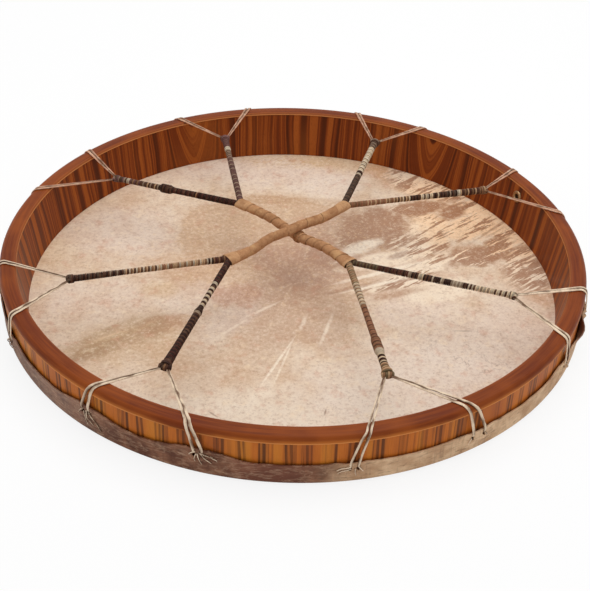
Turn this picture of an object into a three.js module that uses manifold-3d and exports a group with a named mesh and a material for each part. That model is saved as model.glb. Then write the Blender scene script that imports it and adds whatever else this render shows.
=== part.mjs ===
// Shaman drum: a frame drum with one rawhide skin, held by a cross grip.
// Millimetres, +Z up. The origin is the middle of the skin's outer face, on which the drum lies,
// and the open side with its lacing looks up.
import * as THREE from 'three';
import { mergeVertices } from 'three/addons/utils/BufferGeometryUtils.js';
import Module from 'manifold-3d';

const wasm = await Module();
wasm.setup();

// Hoop
const rimRadius = 300; // outside of the rim cap
const rimWidth = 17; // rim cap, from outside to inside
const drumHeight = 55.5; // from the skin's face to the top of the rim cap
const wallLean = 8; // how much further in the inner wall is at the skin than at the cap
const capLip = 0.6; // how far the cap stands proud of the inner veneer
const capOuterRound = 5.5; // the cap's rounded outer edge
const capOuterSide = 0.5; // flat side between the rounded edge and the bead
const beadHeight = 1.9; // bead along the cap's lower outside edge
const beadQuirk = 0.5; // depth of the groove above the bead
const capInnerRound = 2.6;
const capInnerSide = 0.6; // flat side under the rounded inner edge
const rebateWidth = 10; // the deep outer part of the cap, which laps over the core
const veneerSetback = 1.8; // outer veneer, behind the cap's outside
const veneerThickness = 0.8;
const glueLine = 0.2;
const bearingRound = 4.4; // rounded edge of the hoop under the skin

// Skin
const skinThickness = 1.2;
const skinRound = 6; // outside radius where the skin turns up
const exposedVeneer = 22.6; // outer veneer left bare between the skin's raw edge and the cap
const rawEdgeWave = 1; // the raw edge rises and falls by this much
const rawEdgeWaves = 3; // around the hoop
const rawEdgeCrest = 224; // direction of one crest, in degrees
const strongLift = 7; // the raw edge is pulled up this much at a tight lace
const middleLift = 4;
const weakLift = 1.5; // and this much at a slack one
const liftReach = 52; // how far along the hoop a lace lifts the edge
const slitBelowEdge = 5.5;
const slitSpacing = 7.5; // between the two slits of one lace
const wideSlitSpacing = 13;
const slitWidth = 4.2;
const slitHeight = 4;
const lipMargin = 0.5; // the bulge that each lace makes in the skin reaches this far past its slits
const lipFade = 6; // how far the bulge takes to die away
const slitReach = 7.6; // how deep each slit is cut, across the bulge

// Lacing
const laceWidth = 3;
const laceThickness = 1.2;
const flatShare = 0.35; // a strand lies flat after this share of its way from the knot to the cap
const bendDrift = 0.1; // share of a strand's sideways drift that each step of its bend takes
const slitStrand = 1.4; // side of a strand where it is squeezed through a slit
const slitNarrowing = 0.8; // share of its width that a strand keeps just above its slit
const slitRise = 0.65; // shares of the slit's height above its middle, where a strand turns in
const slitDip = 0.2;
const returnStart = 0.4; // sideways steps of a strand behind the skin, in strand sides
const returnEnd = 1.6;
const strandSpread = 5.5; // between the two strands of a lace where they cross the cap
const knotSpacing = 1.8; // each lace starts this far to its side of the spoke's axis
const strandGap = 0.5; // between the two strands of a lace at the knot
const hitchLength = 3.2;
const hitchThickness = 1;
const knotInset = 66; // mean distance from the rim to a knot
const spokeArmRadius = 1.7; // spoke core at the grip
const spokeKnotRadius = 2.4; // spoke core at the knot
const spokeSpacing = 2.4; // each spoke core starts this far to its side of the arm's axis
const windingThickness = 1;
const windingTurns = 10;
const windingGap = 0.8; // between neighbouring turns, along the spoke
const windingCrown = 0.36; // half the width of a strip's raised middle, as a share of its width
const bareCore = 5; // spoke core left bare at the grip

// Cross grip
const crossingX = 2.6; // where the two bundles cross, seen from above
const crossingY = 19.3;
const rearRightArm = 75;
const rearLeftArm = 81;
const frontLeftArm = 89;
const frontRightArm = 78;
const gripRadius = 3.2; // bundle in the middle of the cross
const gripEndRadius = 4.6; // bundle at the fork of two spokes
const gripFlare = 26; // length over which a bundle swells to its end
const gripWindingThickness = 1.2;
const gripWindingTurns = 7;
const crossingReach = 46; // half the length over which a bundle arches over or under the other

// Vent
const ventDirection = 27.6; // degrees
const ventBelowCap = 8.1; // from the cap's foot to the middle of the hole
const eyeletRadius = 6.8; // flange
const eyeletBore = 3;
const eyeletBarrelRadius = 3.8;
const eyeletBarrelLength = 4.5;
const eyeletCrown = 1.5; // height of the rolled flange

// Fit
const seatGap = 0.3; // between pieces that rest on each other

// Each arm of the grip: its direction from the crossing in degrees and its length.
const arms = [
	{ direction: 46.8, length: rearRightArm },
	{ direction: 140.4, length: rearLeftArm },
	{ direction: 219.9, length: frontLeftArm },
	{ direction: 314.0, length: frontRightArm },
];

// One lace: where it crosses the cap and enters the skin, in degrees from the middle, how far it
// lifts the skin's edge, and how far apart its two slits are.
function laceAt(rim, slit, lift, spacing = slitSpacing) {
	return { rim, slit, lift, spacing };
}

// One spoke: its arm, the direction of its knot, how much further in the knot is than the mean,
// and its two laces.
function spokeAt(arm, direction, slack, ...laces) {
	return { arm, direction, slack, laces };
}

const spokes = [
	spokeAt(0, 28.6, -5, laceAt(14.6, 13.6, middleLift), laceAt(33.1, 33.9, middleLift)),
	spokeAt(0, 67.0, 0, laceAt(59.8, 58.8, weakLift), laceAt(75.7, 77.0, middleLift)),
	spokeAt(1, 111.7, 4.5, laceAt(102.1, 101.0, middleLift), laceAt(118.7, 120.0, weakLift)),
	spokeAt(1, 150.2, 3, laceAt(143.8, 143.0, middleLift), laceAt(162.4, 163.6, middleLift)),
	spokeAt(2, 199.9, -1, laceAt(190.4, 189.4, middleLift), laceAt(207.3, 206.7, middleLift)),
	spokeAt(2, 241.9, -6, laceAt(234.3, 232.9, strongLift), laceAt(253.7, 255.1, strongLift)),
	spokeAt(3, 292.5, 3.5, laceAt(282.9, 281.1, weakLift), laceAt(302.1, 304.3, weakLift, wideSlitSpacing)),
	spokeAt(3, 338.7, -0.4, laceAt(330.8, 330.6, middleLift), laceAt(346.6, 347.4, strongLift)),
];

// Smoothness
const ringSegments = 64;
const windingSteps = 8; // in one turn
const bundleSides = 8;
const gripStations = 14; // along a bundle
const eyeletSegments = 16;
const hitchSegments = 8;

// Sizes that follow from the ones above
const rimInnerRadius = rimRadius - rimWidth;
const facet = Math.cos(Math.PI / ringSegments);
const windingFacet = Math.cos(Math.PI / windingSteps);
const capOuterFoot = drumHeight - capOuterRound - capOuterSide - beadHeight;
const capInnerFoot = drumHeight - capInnerRound - capInnerSide;
const coreFoot = skinThickness + seatGap;
const wallHeadRadius = rimInnerRadius + capLip;
const wallFootRadius = wallHeadRadius - wallLean;
const outerVeneerRadius = rimRadius - veneerSetback;
const coreRadius = outerVeneerRadius - veneerThickness - glueLine;
const skinInnerRadius = (outerVeneerRadius + seatGap) / facet;
const skinOuterRadius = skinInnerRadius + skinThickness;
const skinLip = slitStrand + 2 * seatGap;
const laceHeight = drumHeight + seatGap + laceThickness / 2;
const laceRunRadius = skinOuterRadius + skinLip + seatGap + laceThickness / 2;
const gripWindingRadius = (gripRadius + seatGap) / windingFacet + gripWindingThickness;
const crossingRise = gripWindingRadius + seatGap;

const up = new THREE.Vector3(0, 0, 1);
const radians = THREE.MathUtils.degToRad;

function polar(radius, direction, z) {
	const angle = radians(direction);
	return new THREE.Vector3(radius * Math.cos(angle), radius * Math.sin(angle), z);
}

// The direction of a place that lies a few millimetres along the hoop from another.
function along(direction, millimetres) {
	return direction + THREE.MathUtils.radToDeg(millimetres / skinOuterRadius);
}

function wallRadius(z) {
	const rise = (z - coreFoot) / (capInnerFoot - coreFoot);
	return THREE.MathUtils.lerp(wallFootRadius, wallHeadRadius, rise);
}

const laceList = spokes.flatMap((spoke) => spoke.laces);

function directionBetween(a, b) {
	return Math.abs(((a - b + 540) % 360) - 180);
}

// How far a place lies from the middle of a lace's two slits, along the hoop.
function distanceToLace(direction, lace) {
	return radians(directionBetween(direction, lace.slit)) * skinOuterRadius;
}

// The raw edge waves gently and rises to each lace that pulls it up.
function rawEdgeHeight(direction) {
	const wave = Math.cos(radians(rawEdgeWaves * (direction - rawEdgeCrest)));
	const lifts = laceList.map((lace) => {
		const away = Math.min(1, distanceToLace(direction, lace) / liftReach);
		return lace.lift * (0.5 + 0.5 * Math.cos(Math.PI * away));
	});
	return capOuterFoot - exposedVeneer + rawEdgeWave * wave + Math.max(...lifts);
}

// Shapes

function bareGeometry(geometry) {
	const bare = geometry.index ? geometry : geometry.clone();
	bare.deleteAttribute('normal');
	bare.deleteAttribute('uv');
	return mergeVertices(bare, 1e-4);
}

function signedVolume(positions, index) {
	const corner = (k) => new THREE.Vector3().fromArray(positions, 3 * index[k]);
	let volume = 0;
	for (let k = 0; k < index.length; k += 3) {
		volume += corner(k).dot(corner(k + 1).cross(corner(k + 2))) / 6;
	}
	return volume;
}

// A closed body from points and triangles, with its faces pointing out and no empty triangle.
function closedBody(points, triangles) {
	const positions = points.flatMap((point) => point.toArray());
	const raw = new THREE.BufferGeometry();
	raw.setAttribute('position', new THREE.Float32BufferAttribute(positions, 3));
	raw.setIndex(triangles.flat());
	const merged = mergeVertices(raw, 1e-4);
	const index = [...merged.index.array];
	const kept = [];
	for (let k = 0; k < index.length; k += 3) {
		const [a, b, c] = index.slice(k, k + 3);
		if (a !== b && b !== c && c !== a) kept.push(a, b, c);
	}
	if (signedVolume(merged.attributes.position.array, kept) < 0) kept.reverse();
	merged.setIndex(kept);
	return merged;
}

// A band of triangles between neighbouring rings of points, closed by a fan at each end.
function sweptBody(rings) {
	const sides = rings[0].length;
	const triangles = [];
	for (let ring = 0; ring + 1 < rings.length; ring += 1) {
		for (let side = 0; side < sides; side += 1) {
			const next = (side + 1) % sides;
			const a = ring * sides + side;
			const b = ring * sides + next;
			triangles.push([a, b, b + sides], [a, b + sides, a + sides]);
		}
	}
	const last = (rings.length - 1) * sides;
	for (let side = 1; side + 1 < sides; side += 1) {
		triangles.push([0, side + 1, side], [last, last + side, last + side + 1]);
	}
	return closedBody(rings.flat(), triangles);
}

// A ring turned from a closed outline of [radius, height] points about the Z axis.
function turnedRing(outline, segments) {
	const profile = [...outline, outline[0]].map(([radius, height]) => new THREE.Vector2(radius, height));
	const geometry = new THREE.LatheGeometry(profile, segments);
	geometry.rotateX(Math.PI / 2);
	const bare = bareGeometry(geometry);
	const index = [...bare.index.array];
	if (signedVolume(bare.attributes.position.array, index) < 0) bare.setIndex(index.reverse());
	return bare;
}

function arc(centre, radius, from, to, steps) {
	const points = [];
	for (let step = 0; step <= steps; step += 1) {
		const angle = radians(THREE.MathUtils.lerp(from, to, step / steps));
		points.push([centre[0] + radius * Math.cos(angle), centre[1] + radius * Math.sin(angle)]);
	}
	return points;
}

function solidOf(geometry) {
	const bare = bareGeometry(geometry);
	const mesh = new wasm.Mesh({
		numProp: 3,
		vertProperties: Float32Array.from(bare.attributes.position.array),
		triVerts: Uint32Array.from(bare.index.array),
	});
	return new wasm.Manifold(mesh);
}

function geometryOf(solid) {
	const mesh = solid.getMesh();
	const geometry = new THREE.BufferGeometry();
	geometry.setAttribute('position', new THREE.BufferAttribute(mesh.vertProperties, 3));
	geometry.setIndex(new THREE.BufferAttribute(mesh.triVerts, 1));
	return geometry;
}

function cut(geometry, cutters) {
	let solid = solidOf(geometry);
	for (const cutter of cutters) solid = solid.subtract(solidOf(cutter));
	return geometryOf(solid);
}

// Turns a shape that was made about the Z axis so that it points along a direction from a place.
function aim(geometry, place, direction) {
	geometry.applyQuaternion(new THREE.Quaternion().setFromUnitVectors(up, direction));
	return geometry.translate(place.x, place.y, place.z);
}

// Hoop

function hoopCore() {
	const foot = wallRadius(coreFoot) + veneerThickness + glueLine;
	const head = wallRadius(capInnerFoot - glueLine) + veneerThickness + glueLine;
	const rebate = rimRadius - rebateWidth;
	const bearing = [coreRadius - bearingRound, coreFoot + bearingRound];
	return turnedRing([
		[foot, coreFoot],
		...arc(bearing, bearingRound, -90, 0, 2),
		[coreRadius, capOuterFoot - glueLine],
		[rebate - glueLine, capOuterFoot - glueLine],
		[rebate - glueLine, capInnerFoot - glueLine],
		[head, capInnerFoot - glueLine],
	], ringSegments);
}

function rimCap() {
	const rebate = rimRadius - rebateWidth;
	return turnedRing([
		[rimInnerRadius, capInnerFoot],
		[rebate, capInnerFoot],
		[rebate, capOuterFoot],
		[rimRadius - beadQuirk, capOuterFoot],
		[rimRadius, capOuterFoot + beadHeight / 2],
		[rimRadius - beadQuirk, capOuterFoot + beadHeight],
		...arc([rimRadius - capOuterRound, drumHeight - capOuterRound], capOuterRound, 0, 90, 3),
		...arc([rimInnerRadius + capInnerRound, drumHeight - capInnerRound], capInnerRound, 90, 180, 2),
	], ringSegments);
}

function innerVeneer() {
	const top = capInnerFoot - glueLine;
	return turnedRing([
		[wallRadius(coreFoot), coreFoot],
		[wallRadius(coreFoot) + veneerThickness, coreFoot],
		[wallRadius(top) + veneerThickness, top],
		[wallRadius(top), top],
	], ringSegments);
}

function outerVeneer() {
	const foot = coreFoot + bearingRound;
	const top = capOuterFoot - glueLine;
	return turnedRing([
		[outerVeneerRadius - veneerThickness, foot],
		[outerVeneerRadius, foot],
		[outerVeneerRadius, top],
		[outerVeneerRadius - veneerThickness, top],
	], ringSegments);
}

// Vent: a hole through the wall in the bare band of veneer, with an eyelet on each side.

const ventHeight = capOuterFoot - ventBelowCap;
const ventAxis = polar(1, ventDirection, 0);
const wallTilt = Math.atan(wallLean / (capInnerFoot - coreFoot));
const barrelSwing = eyeletBarrelLength * Math.sin(wallTilt);
const ventHoleRadius = (eyeletBarrelRadius + barrelSwing + seatGap) / Math.cos(Math.PI / eyeletSegments);

function ventHole() {
	const start = wallFootRadius - wallLean;
	const length = rimRadius - start + ventHoleRadius;
	const hole = new THREE.CylinderGeometry(ventHoleRadius, ventHoleRadius, length, eyeletSegments);
	hole.rotateX(Math.PI / 2);
	hole.translate(0, 0, length / 2);
	return aim(hole, polar(start, ventDirection, ventHeight), ventAxis);
}

function eyelet() {
	const middle = (eyeletRadius + eyeletBore) / 2;
	const half = eyeletRadius - middle;
	const crown = arc([middle, 0], half, 0, 180, 4).map(([radius, z]) => [radius, (z * eyeletCrown) / half]);
	return turnedRing([
		[eyeletBore, -eyeletBarrelLength],
		[eyeletBarrelRadius, -eyeletBarrelLength],
		[eyeletBarrelRadius, 0],
		...crown,
	], eyeletSegments);
}

function insideEyelet() {
	const inwards = ventAxis.clone().multiplyScalar(-Math.cos(wallTilt)).addScaledVector(up, Math.sin(wallTilt));
	const wall = polar(wallRadius(ventHeight) * facet, ventDirection, ventHeight);
	return aim(eyelet(), wall.addScaledVector(inwards, seatGap), inwards);
}

function outsideEyelet() {
	return aim(eyelet(), polar(outerVeneerRadius + seatGap, ventDirection, ventHeight), ventAxis);
}

// Skin

function lipHalfWidth(lace) {
	return (lace.spacing + slitWidth) / 2 + lipMargin;
}

// 1 on the bulge that a lace makes in the skin, 0 away from it.
function bulge(direction) {
	const past = laceList.map((lace) => distanceToLace(direction, lace) - lipHalfWidth(lace));
	return 1 - THREE.MathUtils.clamp(Math.min(...past) / lipFade, 0, 1);
}

// Both slits of a lace lie at one height.
function slitHeightOf(lace) {
	return rawEdgeHeight(lace.slit) - slitBelowEdge;
}

// The height up to which the skin's side stands straight, before a lace pulls it out.
function shoulderHeight(direction) {
	const [nearest] = [...laceList].sort((a, b) => distanceToLace(direction, a) - distanceToLace(direction, b));
	return slitHeightOf(nearest) - slitHeight;
}

// The directions at which the skin bends: both sides of every bulge, and steps in between.
function skinDirections() {
	const bends = laceList.flatMap((lace) => {
		const half = lipHalfWidth(lace);
		return [-half - lipFade, -half, half, half + lipFade].map((distance) => (
			(along(lace.slit, distance) + 360) % 360));
	});
	bends.sort((a, b) => a - b);
	const longest = 360 / ringSegments;
	return bends.flatMap((bend, k) => {
		const gap = (k + 1 < bends.length ? bends[k + 1] : bends[0] + 360) - bend;
		const steps = Math.max(1, Math.ceil(gap / longest));
		return Array.from({ length: steps }, (_, step) => bend + (gap * step) / steps);
	});
}

// The skin's outline at one direction, from the middle of its outer face round to its inner one.
function skinOutline(direction) {
	const lip = skinLip * bulge(direction);
	const edge = rawEdgeHeight(direction);
	const shoulder = shoulderHeight(direction);
	const turn = skinOuterRadius - skinRound;
	const innerRound = skinRound - skinThickness;
	return [
		[0, 0],
		...arc([turn, skinRound], skinRound, -90, 0, 2),
		[skinOuterRadius + lip, shoulder],
		[skinOuterRadius + lip, edge],
		[skinInnerRadius + lip, edge],
		[skinInnerRadius + lip, shoulder],
		...arc([turn, skinRound], innerRound, 0, -90, 2),
		[0, skinThickness],
	].map(([radius, z]) => polar(radius, direction, z));
}

function slitCutter(direction, height) {
	const box = new THREE.BoxGeometry(slitReach, slitWidth, slitHeight);
	box.rotateZ(radians(direction));
	const centre = polar(skinOuterRadius + skinLip - skinThickness / 2, direction, height);
	return box.translate(centre.x, centre.y, centre.z);
}

function drumSkin() {
	const outlines = skinDirections().map(skinOutline);
	const count = outlines[0].length;
	const triangles = [];
	outlines.forEach((_, k) => {
		const here = k * count;
		const there = ((k + 1) % outlines.length) * count;
		for (let row = 0; row + 1 < count; row += 1) {
			triangles.push([here + row, there + row, there + row + 1]);
			triangles.push([here + row, there + row + 1, here + row + 1]);
		}
	});
	const cutters = laceList.flatMap((lace) => [-1, 1].map((half) => (
		slitCutter(along(lace.slit, (half * lace.spacing) / 2), slitHeightOf(lace)))));
	return cut(closedBody(outlines.flat(), triangles), cutters);
}

// Grip: two bundles that cross, one over the other, each with a winding on both its arms.

const crossingPoint = new THREE.Vector3(crossingX, crossingY, laceHeight);

function armEnd(arm) {
	return polar(arm.length, arm.direction, 0).add(crossingPoint);
}

// The line of a bundle, in one bow from arm to arm through the crossing, where it arches over or
// under the other bundle.
class BundleLine extends THREE.Curve {
	constructor(first, second, rise) {
		super();
		const [start, end] = [armEnd(first), armEnd(second)];
		const middle = start.clone().add(end).multiplyScalar(0.5);
		const control = crossingPoint.clone().multiplyScalar(2).sub(middle);
		this.bow = new THREE.QuadraticBezierCurve3(start, control, end);
		this.rise = rise;
	}

	getPoint(share) {
		const point = this.bow.getPoint(share);
		const away = Math.min(1, point.distanceTo(crossingPoint) / crossingReach);
		point.z += this.rise * (0.5 + 0.5 * Math.cos(Math.PI * away));
		return point;
	}
}

// A place on a line, with the two directions square to it.
function stationOn(line, share) {
	const tangent = line.getTangentAt(share).normalize();
	const side = new THREE.Vector3().crossVectors(tangent, up).normalize();
	const above = new THREE.Vector3().crossVectors(side, tangent);
	return { point: line.getPointAt(share), tangent, side, above };
}

function swell(distanceToEnd) {
	const share = THREE.MathUtils.clamp(1 - distanceToEnd / gripFlare, 0, 1);
	return THREE.MathUtils.lerp(gripRadius, gripEndRadius, share);
}

function roundRing(station, radius, sides) {
	return Array.from({ length: sides }, (_, side) => {
		const angle = (2 * Math.PI * side) / sides;
		return station.point.clone()
			.addScaledVector(station.side, radius * Math.cos(angle))
			.addScaledVector(station.above, radius * Math.sin(angle));
	});
}

function gripCore(line) {
	const length = line.getLength();
	return sweptBody(Array.from({ length: gripStations + 1 }, (_, k) => {
		const share = k / gripStations;
		const radius = swell(Math.min(share, 1 - share) * length);
		return roundRing(stationOn(line, share), radius, bundleSides);
	}));
}

// A strip wound round a bundle as one unbroken tube, lying just off the bundle's surface.
// The station and the bundle's radius are given at each share of the wound stretch.
function windStrip({ stationAt, radiusAt, length, turns, thickness, gap }) {
	const pitch = length / (turns + 1);
	const width = pitch - gap;
	const rings = [];
	for (let step = 0; step <= turns * windingSteps; step += 1) {
		const middle = pitch / 2 + pitch * (step / windingSteps);
		const angle = (2 * Math.PI * step) / windingSteps;
		const corner = (across, height) => {
			const share = (middle + across * width) / length;
			const station = stationAt(share);
			const radius = (radiusAt(share) + seatGap) / windingFacet + height;
			return station.point.clone()
				.addScaledVector(station.side, radius * Math.cos(angle))
				.addScaledVector(station.above, radius * Math.sin(angle));
		};
		rings.push([
			corner(-0.5, 0),
			corner(0.5, 0),
			corner(windingCrown, thickness),
			corner(-windingCrown, thickness),
		]);
	}
	return { geometry: sweptBody(rings), gap: leastGap(rings) };
}

// The least distance between points on one turn's edge and the next turn's.
function leastGap(rings) {
	const sample = (step, corner) => [0, 0.25, 0.5, 0.75].map((share) => (
		rings[step][corner].clone().lerp(rings[step + 1][corner], share)));
	let least = Infinity;
	for (let step = 0; step + windingSteps + 2 < rings.length; step += 1) {
		for (const corner of [1, 2]) {
			const facing = corner === 1 ? 0 : 3;
			const near = sample(step, corner);
			for (let other = step + windingSteps - 1; other <= step + windingSteps + 1; other += 1) {
				for (const a of near) for (const b of sample(other, facing)) least = Math.min(least, a.distanceTo(b));
			}
		}
	}
	return least;
}

// The station at a distance from one end of a line, looking away from that end.
function stationFrom(line, distance, fromStart) {
	const share = distance / line.getLength();
	const station = stationOn(line, fromStart ? share : 1 - share);
	if (!fromStart) station.tangent.negate();
	return station;
}

function gripWinding(line, fromStart) {
	const stretch = line.getLength() / 2 - seatGap;
	return windStrip({
		stationAt: (share) => stationFrom(line, share * stretch, fromStart),
		radiusAt: (share) => swell(share * stretch),
		length: stretch,
		turns: gripWindingTurns,
		thickness: gripWindingThickness,
		gap: windingGap,
	});
}

// Spokes: each runs straight from the fork at an arm's end to its knot.

function knotPoint(spoke) {
	return polar(rimRadius - knotInset - spoke.slack, spoke.direction, laceHeight);
}

function spokeLine(spoke) {
	const arm = arms[spoke.arm];
	const fork = armEnd(arm);
	const outwards = polar(1, arm.direction, 0);
	const left = new THREE.Vector3().crossVectors(up, outwards);
	const heading = knotPoint(spoke).sub(fork).normalize();
	const side = Math.sign(heading.dot(left));
	const clear = seatGap + spokeArmRadius * Math.abs(heading.dot(left));
	const start = fork.addScaledVector(outwards, clear).addScaledVector(left, side * spokeSpacing);
	return new THREE.LineCurve3(start, knotPoint(spoke));
}

function spokeCore(line) {
	const length = line.getLength();
	const core = new THREE.CylinderGeometry(spokeKnotRadius, spokeArmRadius, length, bundleSides);
	core.rotateX(Math.PI / 2);
	core.translate(0, 0, length / 2);
	return aim(core, line.v1, line.getTangentAt(0));
}

function spokeWinding(line) {
	const length = line.getLength();
	const stretch = length - bareCore - hitchLength - 2 * seatGap;
	const share = (part) => (bareCore + part * stretch) / length;
	return windStrip({
		stationAt: (part) => stationOn(line, share(part)),
		radiusAt: (part) => THREE.MathUtils.lerp(spokeArmRadius, spokeKnotRadius, share(part)),
		length: stretch,
		turns: windingTurns,
		thickness: windingThickness,
		gap: windingGap,
	});
}

// The lace that is hitched round the spoke's end, as a crowned band.
function hitch(line) {
	const inner = (spokeKnotRadius + seatGap) / Math.cos(Math.PI / hitchSegments);
	const outer = inner + hitchThickness;
	const edge = outer - hitchThickness / 3;
	const band = turnedRing([
		[inner, 0],
		[edge, 0],
		[outer, hitchLength / 2],
		[edge, hitchLength],
		[inner, hitchLength],
	], hitchSegments);
	const distance = line.getLength() - hitchLength - seatGap;
	return aim(band, line.getPointAt(distance / line.getLength()), line.getTangentAt(0));
}

// Laces: each is one strip that leaves the knot, bends over the cap, goes in through a slit of
// the skin, passes behind it, and comes back the same way beside itself.

function place(point, facing, width, thickness) {
	return { point, facing: facing.clone().normalize(), width, thickness };
}

// One strand, from the knot to behind the skin. At each place the strip faces the given way.
function strand({ start, sideways, rim, slit, hole, inwards }) {
	const edge = polar(rimRadius - capOuterRound, rim, laceHeight);
	const bend = [rimRadius - capOuterRound, drumHeight - capOuterRound];
	const bendRadius = capOuterRound + seatGap + laceThickness / 2;
	const run = rawEdgeHeight(slit);
	const outwards = polar(1, slit, 0);
	const down = up.clone().negate();
	const flat = [laceWidth, laceThickness];
	const squeezed = [slitStrand, slitStrand];
	const inside = skinInnerRadius + skinLip;
	const behind = outerVeneerRadius + seatGap + slitStrand / 2;
	const narrowed = [laceWidth * slitNarrowing, laceThickness];
	const bends = [60, 30, 0].map((tilt, k) => {
		const direction = THREE.MathUtils.lerp(rim, slit, bendDrift * (k + 1));
		const [[radius, z]] = arc(bend, bendRadius, tilt, tilt, 1);
		const facing = polar(Math.cos(radians(tilt)), direction, Math.sin(radians(tilt)));
		return place(polar(radius, direction, z), facing, ...flat);
	});
	const slope = sideways.clone().addScaledVector(up, 2);
	const turning = outwards.clone().add(down);
	const backAt = (sides) => along(slit, sides * slitStrand * inwards);
	return [
		place(start, sideways, ...flat),
		place(start.clone().lerp(edge, flatShare), slope, ...flat),
		place(edge, up, ...flat),
		...bends,
		place(polar(laceRunRadius, slit, run + laceThickness), outwards, ...flat),
		place(polar(laceRunRadius, slit, hole + slitHeight * slitRise), outwards, ...narrowed),
		place(polar(inside + skinThickness + seatGap, slit, hole + slitHeight * slitDip), turning, ...squeezed),
		place(polar(inside + seatGap, slit, hole), down, ...squeezed),
		place(polar((inside + behind) / 2, backAt(returnStart), hole), down, ...squeezed),
		place(polar(behind, backAt(returnEnd), hole), down, ...squeezed),
	];
}

function stripAlong(places) {
	const last = places.length - 1;
	return sweptBody(places.map(({ point, facing, width, thickness }, k) => {
		const heading = places[Math.min(k + 1, last)].point.clone().sub(places[Math.max(k - 1, 0)].point).normalize();
		const across = new THREE.Vector3().crossVectors(heading, facing).normalize();
		const outer = new THREE.Vector3().crossVectors(across, heading);
		return [[1, 1], [-1, 1], [-1, -1], [1, -1]].map(([a, b]) => point.clone()
			.addScaledVector(across, (a * width) / 2)
			.addScaledVector(outer, (b * thickness) / 2));
	}));
}

// A lace on the side of its spoke that is 1 to the left and -1 to the right, seen from the grip.
function lace(spoke, hold, side) {
	const knot = knotPoint(spoke);
	const axis = spokeLine(spoke).getTangentAt(0);
	const left = new THREE.Vector3().crossVectors(up, axis).normalize();
	const heading = polar(rimRadius - capOuterRound, hold.rim, laceHeight).sub(knot).normalize();
	const halfPair = strandGap / 2 + laceThickness;
	const clear = seatGap + halfPair * Math.abs(heading.dot(left));
	const start = knot.addScaledVector(axis, clear).addScaledVector(left, side * knotSpacing);
	const sideways = new THREE.Vector3().crossVectors(up, heading).normalize();
	const strands = [-1, 1].map((half) => strand({
		start: start.clone().addScaledVector(sideways, (half * (strandGap + laceThickness)) / 2),
		sideways,
		rim: along(hold.rim, (half * strandSpread) / 2),
		slit: along(hold.slit, (half * hold.spacing) / 2),
		hole: slitHeightOf(hold),
		inwards: -half,
	}));
	return stripAlong([...strands[0], ...strands[1].reverse()]);
}

// Assembly

const capWood = new THREE.MeshStandardMaterial({ color: 0x8a4522, roughness: 0.42 });
const coreWood = new THREE.MeshStandardMaterial({ color: 0xc9a878, roughness: 0.7 });
const innerStripes = new THREE.MeshStandardMaterial({ color: 0x7a3d17, roughness: 0.5 });
const outerStripes = new THREE.MeshStandardMaterial({ color: 0xb4692b, roughness: 0.45 });
const rawhide = new THREE.MeshStandardMaterial({ color: 0xd9c0a5, roughness: 0.75 });
const laceHide = new THREE.MeshStandardMaterial({ color: 0xcbb08f, roughness: 0.7 });
const darkStrips = new THREE.MeshStandardMaterial({ color: 0x4a3426, roughness: 0.8 });
const suede = new THREE.MeshStandardMaterial({ color: 0xb08458, roughness: 0.9 });
const metal = new THREE.MeshStandardMaterial({ color: 0xb9a48e, roughness: 0.3, metalness: 1 });

const drum = new THREE.Group();

function add(name, geometry, material) {
	const mesh = new THREE.Mesh(geometry, material);
	mesh.name = name;
	drum.add(mesh);
}

const leastGaps = [];

function addWinding(name, winding, material) {
	leastGaps.push(winding.gap);
	add(name, winding.geometry, material);
}

add('hoop_core', cut(hoopCore(), [ventHole()]), coreWood);
add('rim_cap', rimCap(), capWood);
add('inner_veneer', cut(innerVeneer(), [ventHole()]), innerStripes);
add('outer_veneer', cut(outerVeneer(), [ventHole()]), outerStripes);
add('drum_skin', drumSkin(), rawhide);
add('vent_eyelet_inside', insideEyelet(), metal);
add('vent_eyelet_outside', outsideEyelet(), metal);

const overLine = new BundleLine(arms[0], arms[2], crossingRise);
const underLine = new BundleLine(arms[1], arms[3], -crossingRise);
add('grip_core_over', gripCore(overLine), laceHide);
add('grip_core_under', gripCore(underLine), laceHide);
[[overLine, true], [underLine, true], [overLine, false], [underLine, false]].forEach(([line, fromStart], k) => {
	addWinding(`grip_winding_${k + 1}`, gripWinding(line, fromStart), suede);
});

spokes.forEach((spoke, k) => {
	const line = spokeLine(spoke);
	add(`spoke_core_${k + 1}`, spokeCore(line), laceHide);
	addWinding(`spoke_winding_${k + 1}`, spokeWinding(line), darkStrips);
	add(`hitch_${k + 1}`, hitch(line), laceHide);
	add(`lace_${k + 1}a`, lace(spoke, spoke.laces[0], -1), laceHide);
	add(`lace_${k + 1}b`, lace(spoke, spoke.laces[1], 1), laceHide);
});

console.log(`least gap between the turns of a winding: ${Math.min(...leastGaps).toFixed(2)} mm`);

export default drum;
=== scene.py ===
# %% [markdown]
# This lesson dresses a shaman drum: a shallow hoop of wood with one rawhide skin, laced across
# its open side to a leather bound cross that the hand holds. The solid model of the drum is
# loaded first. It says where every piece sits and how big it is, and nothing here moves it.
# Each piece is then made again with a smooth surface and a finish of its own.

import math
import random
from bisect import bisect_right
from collections import namedtuple

import bmesh
import bpy
from mathutils import Matrix, Vector, noise


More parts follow.
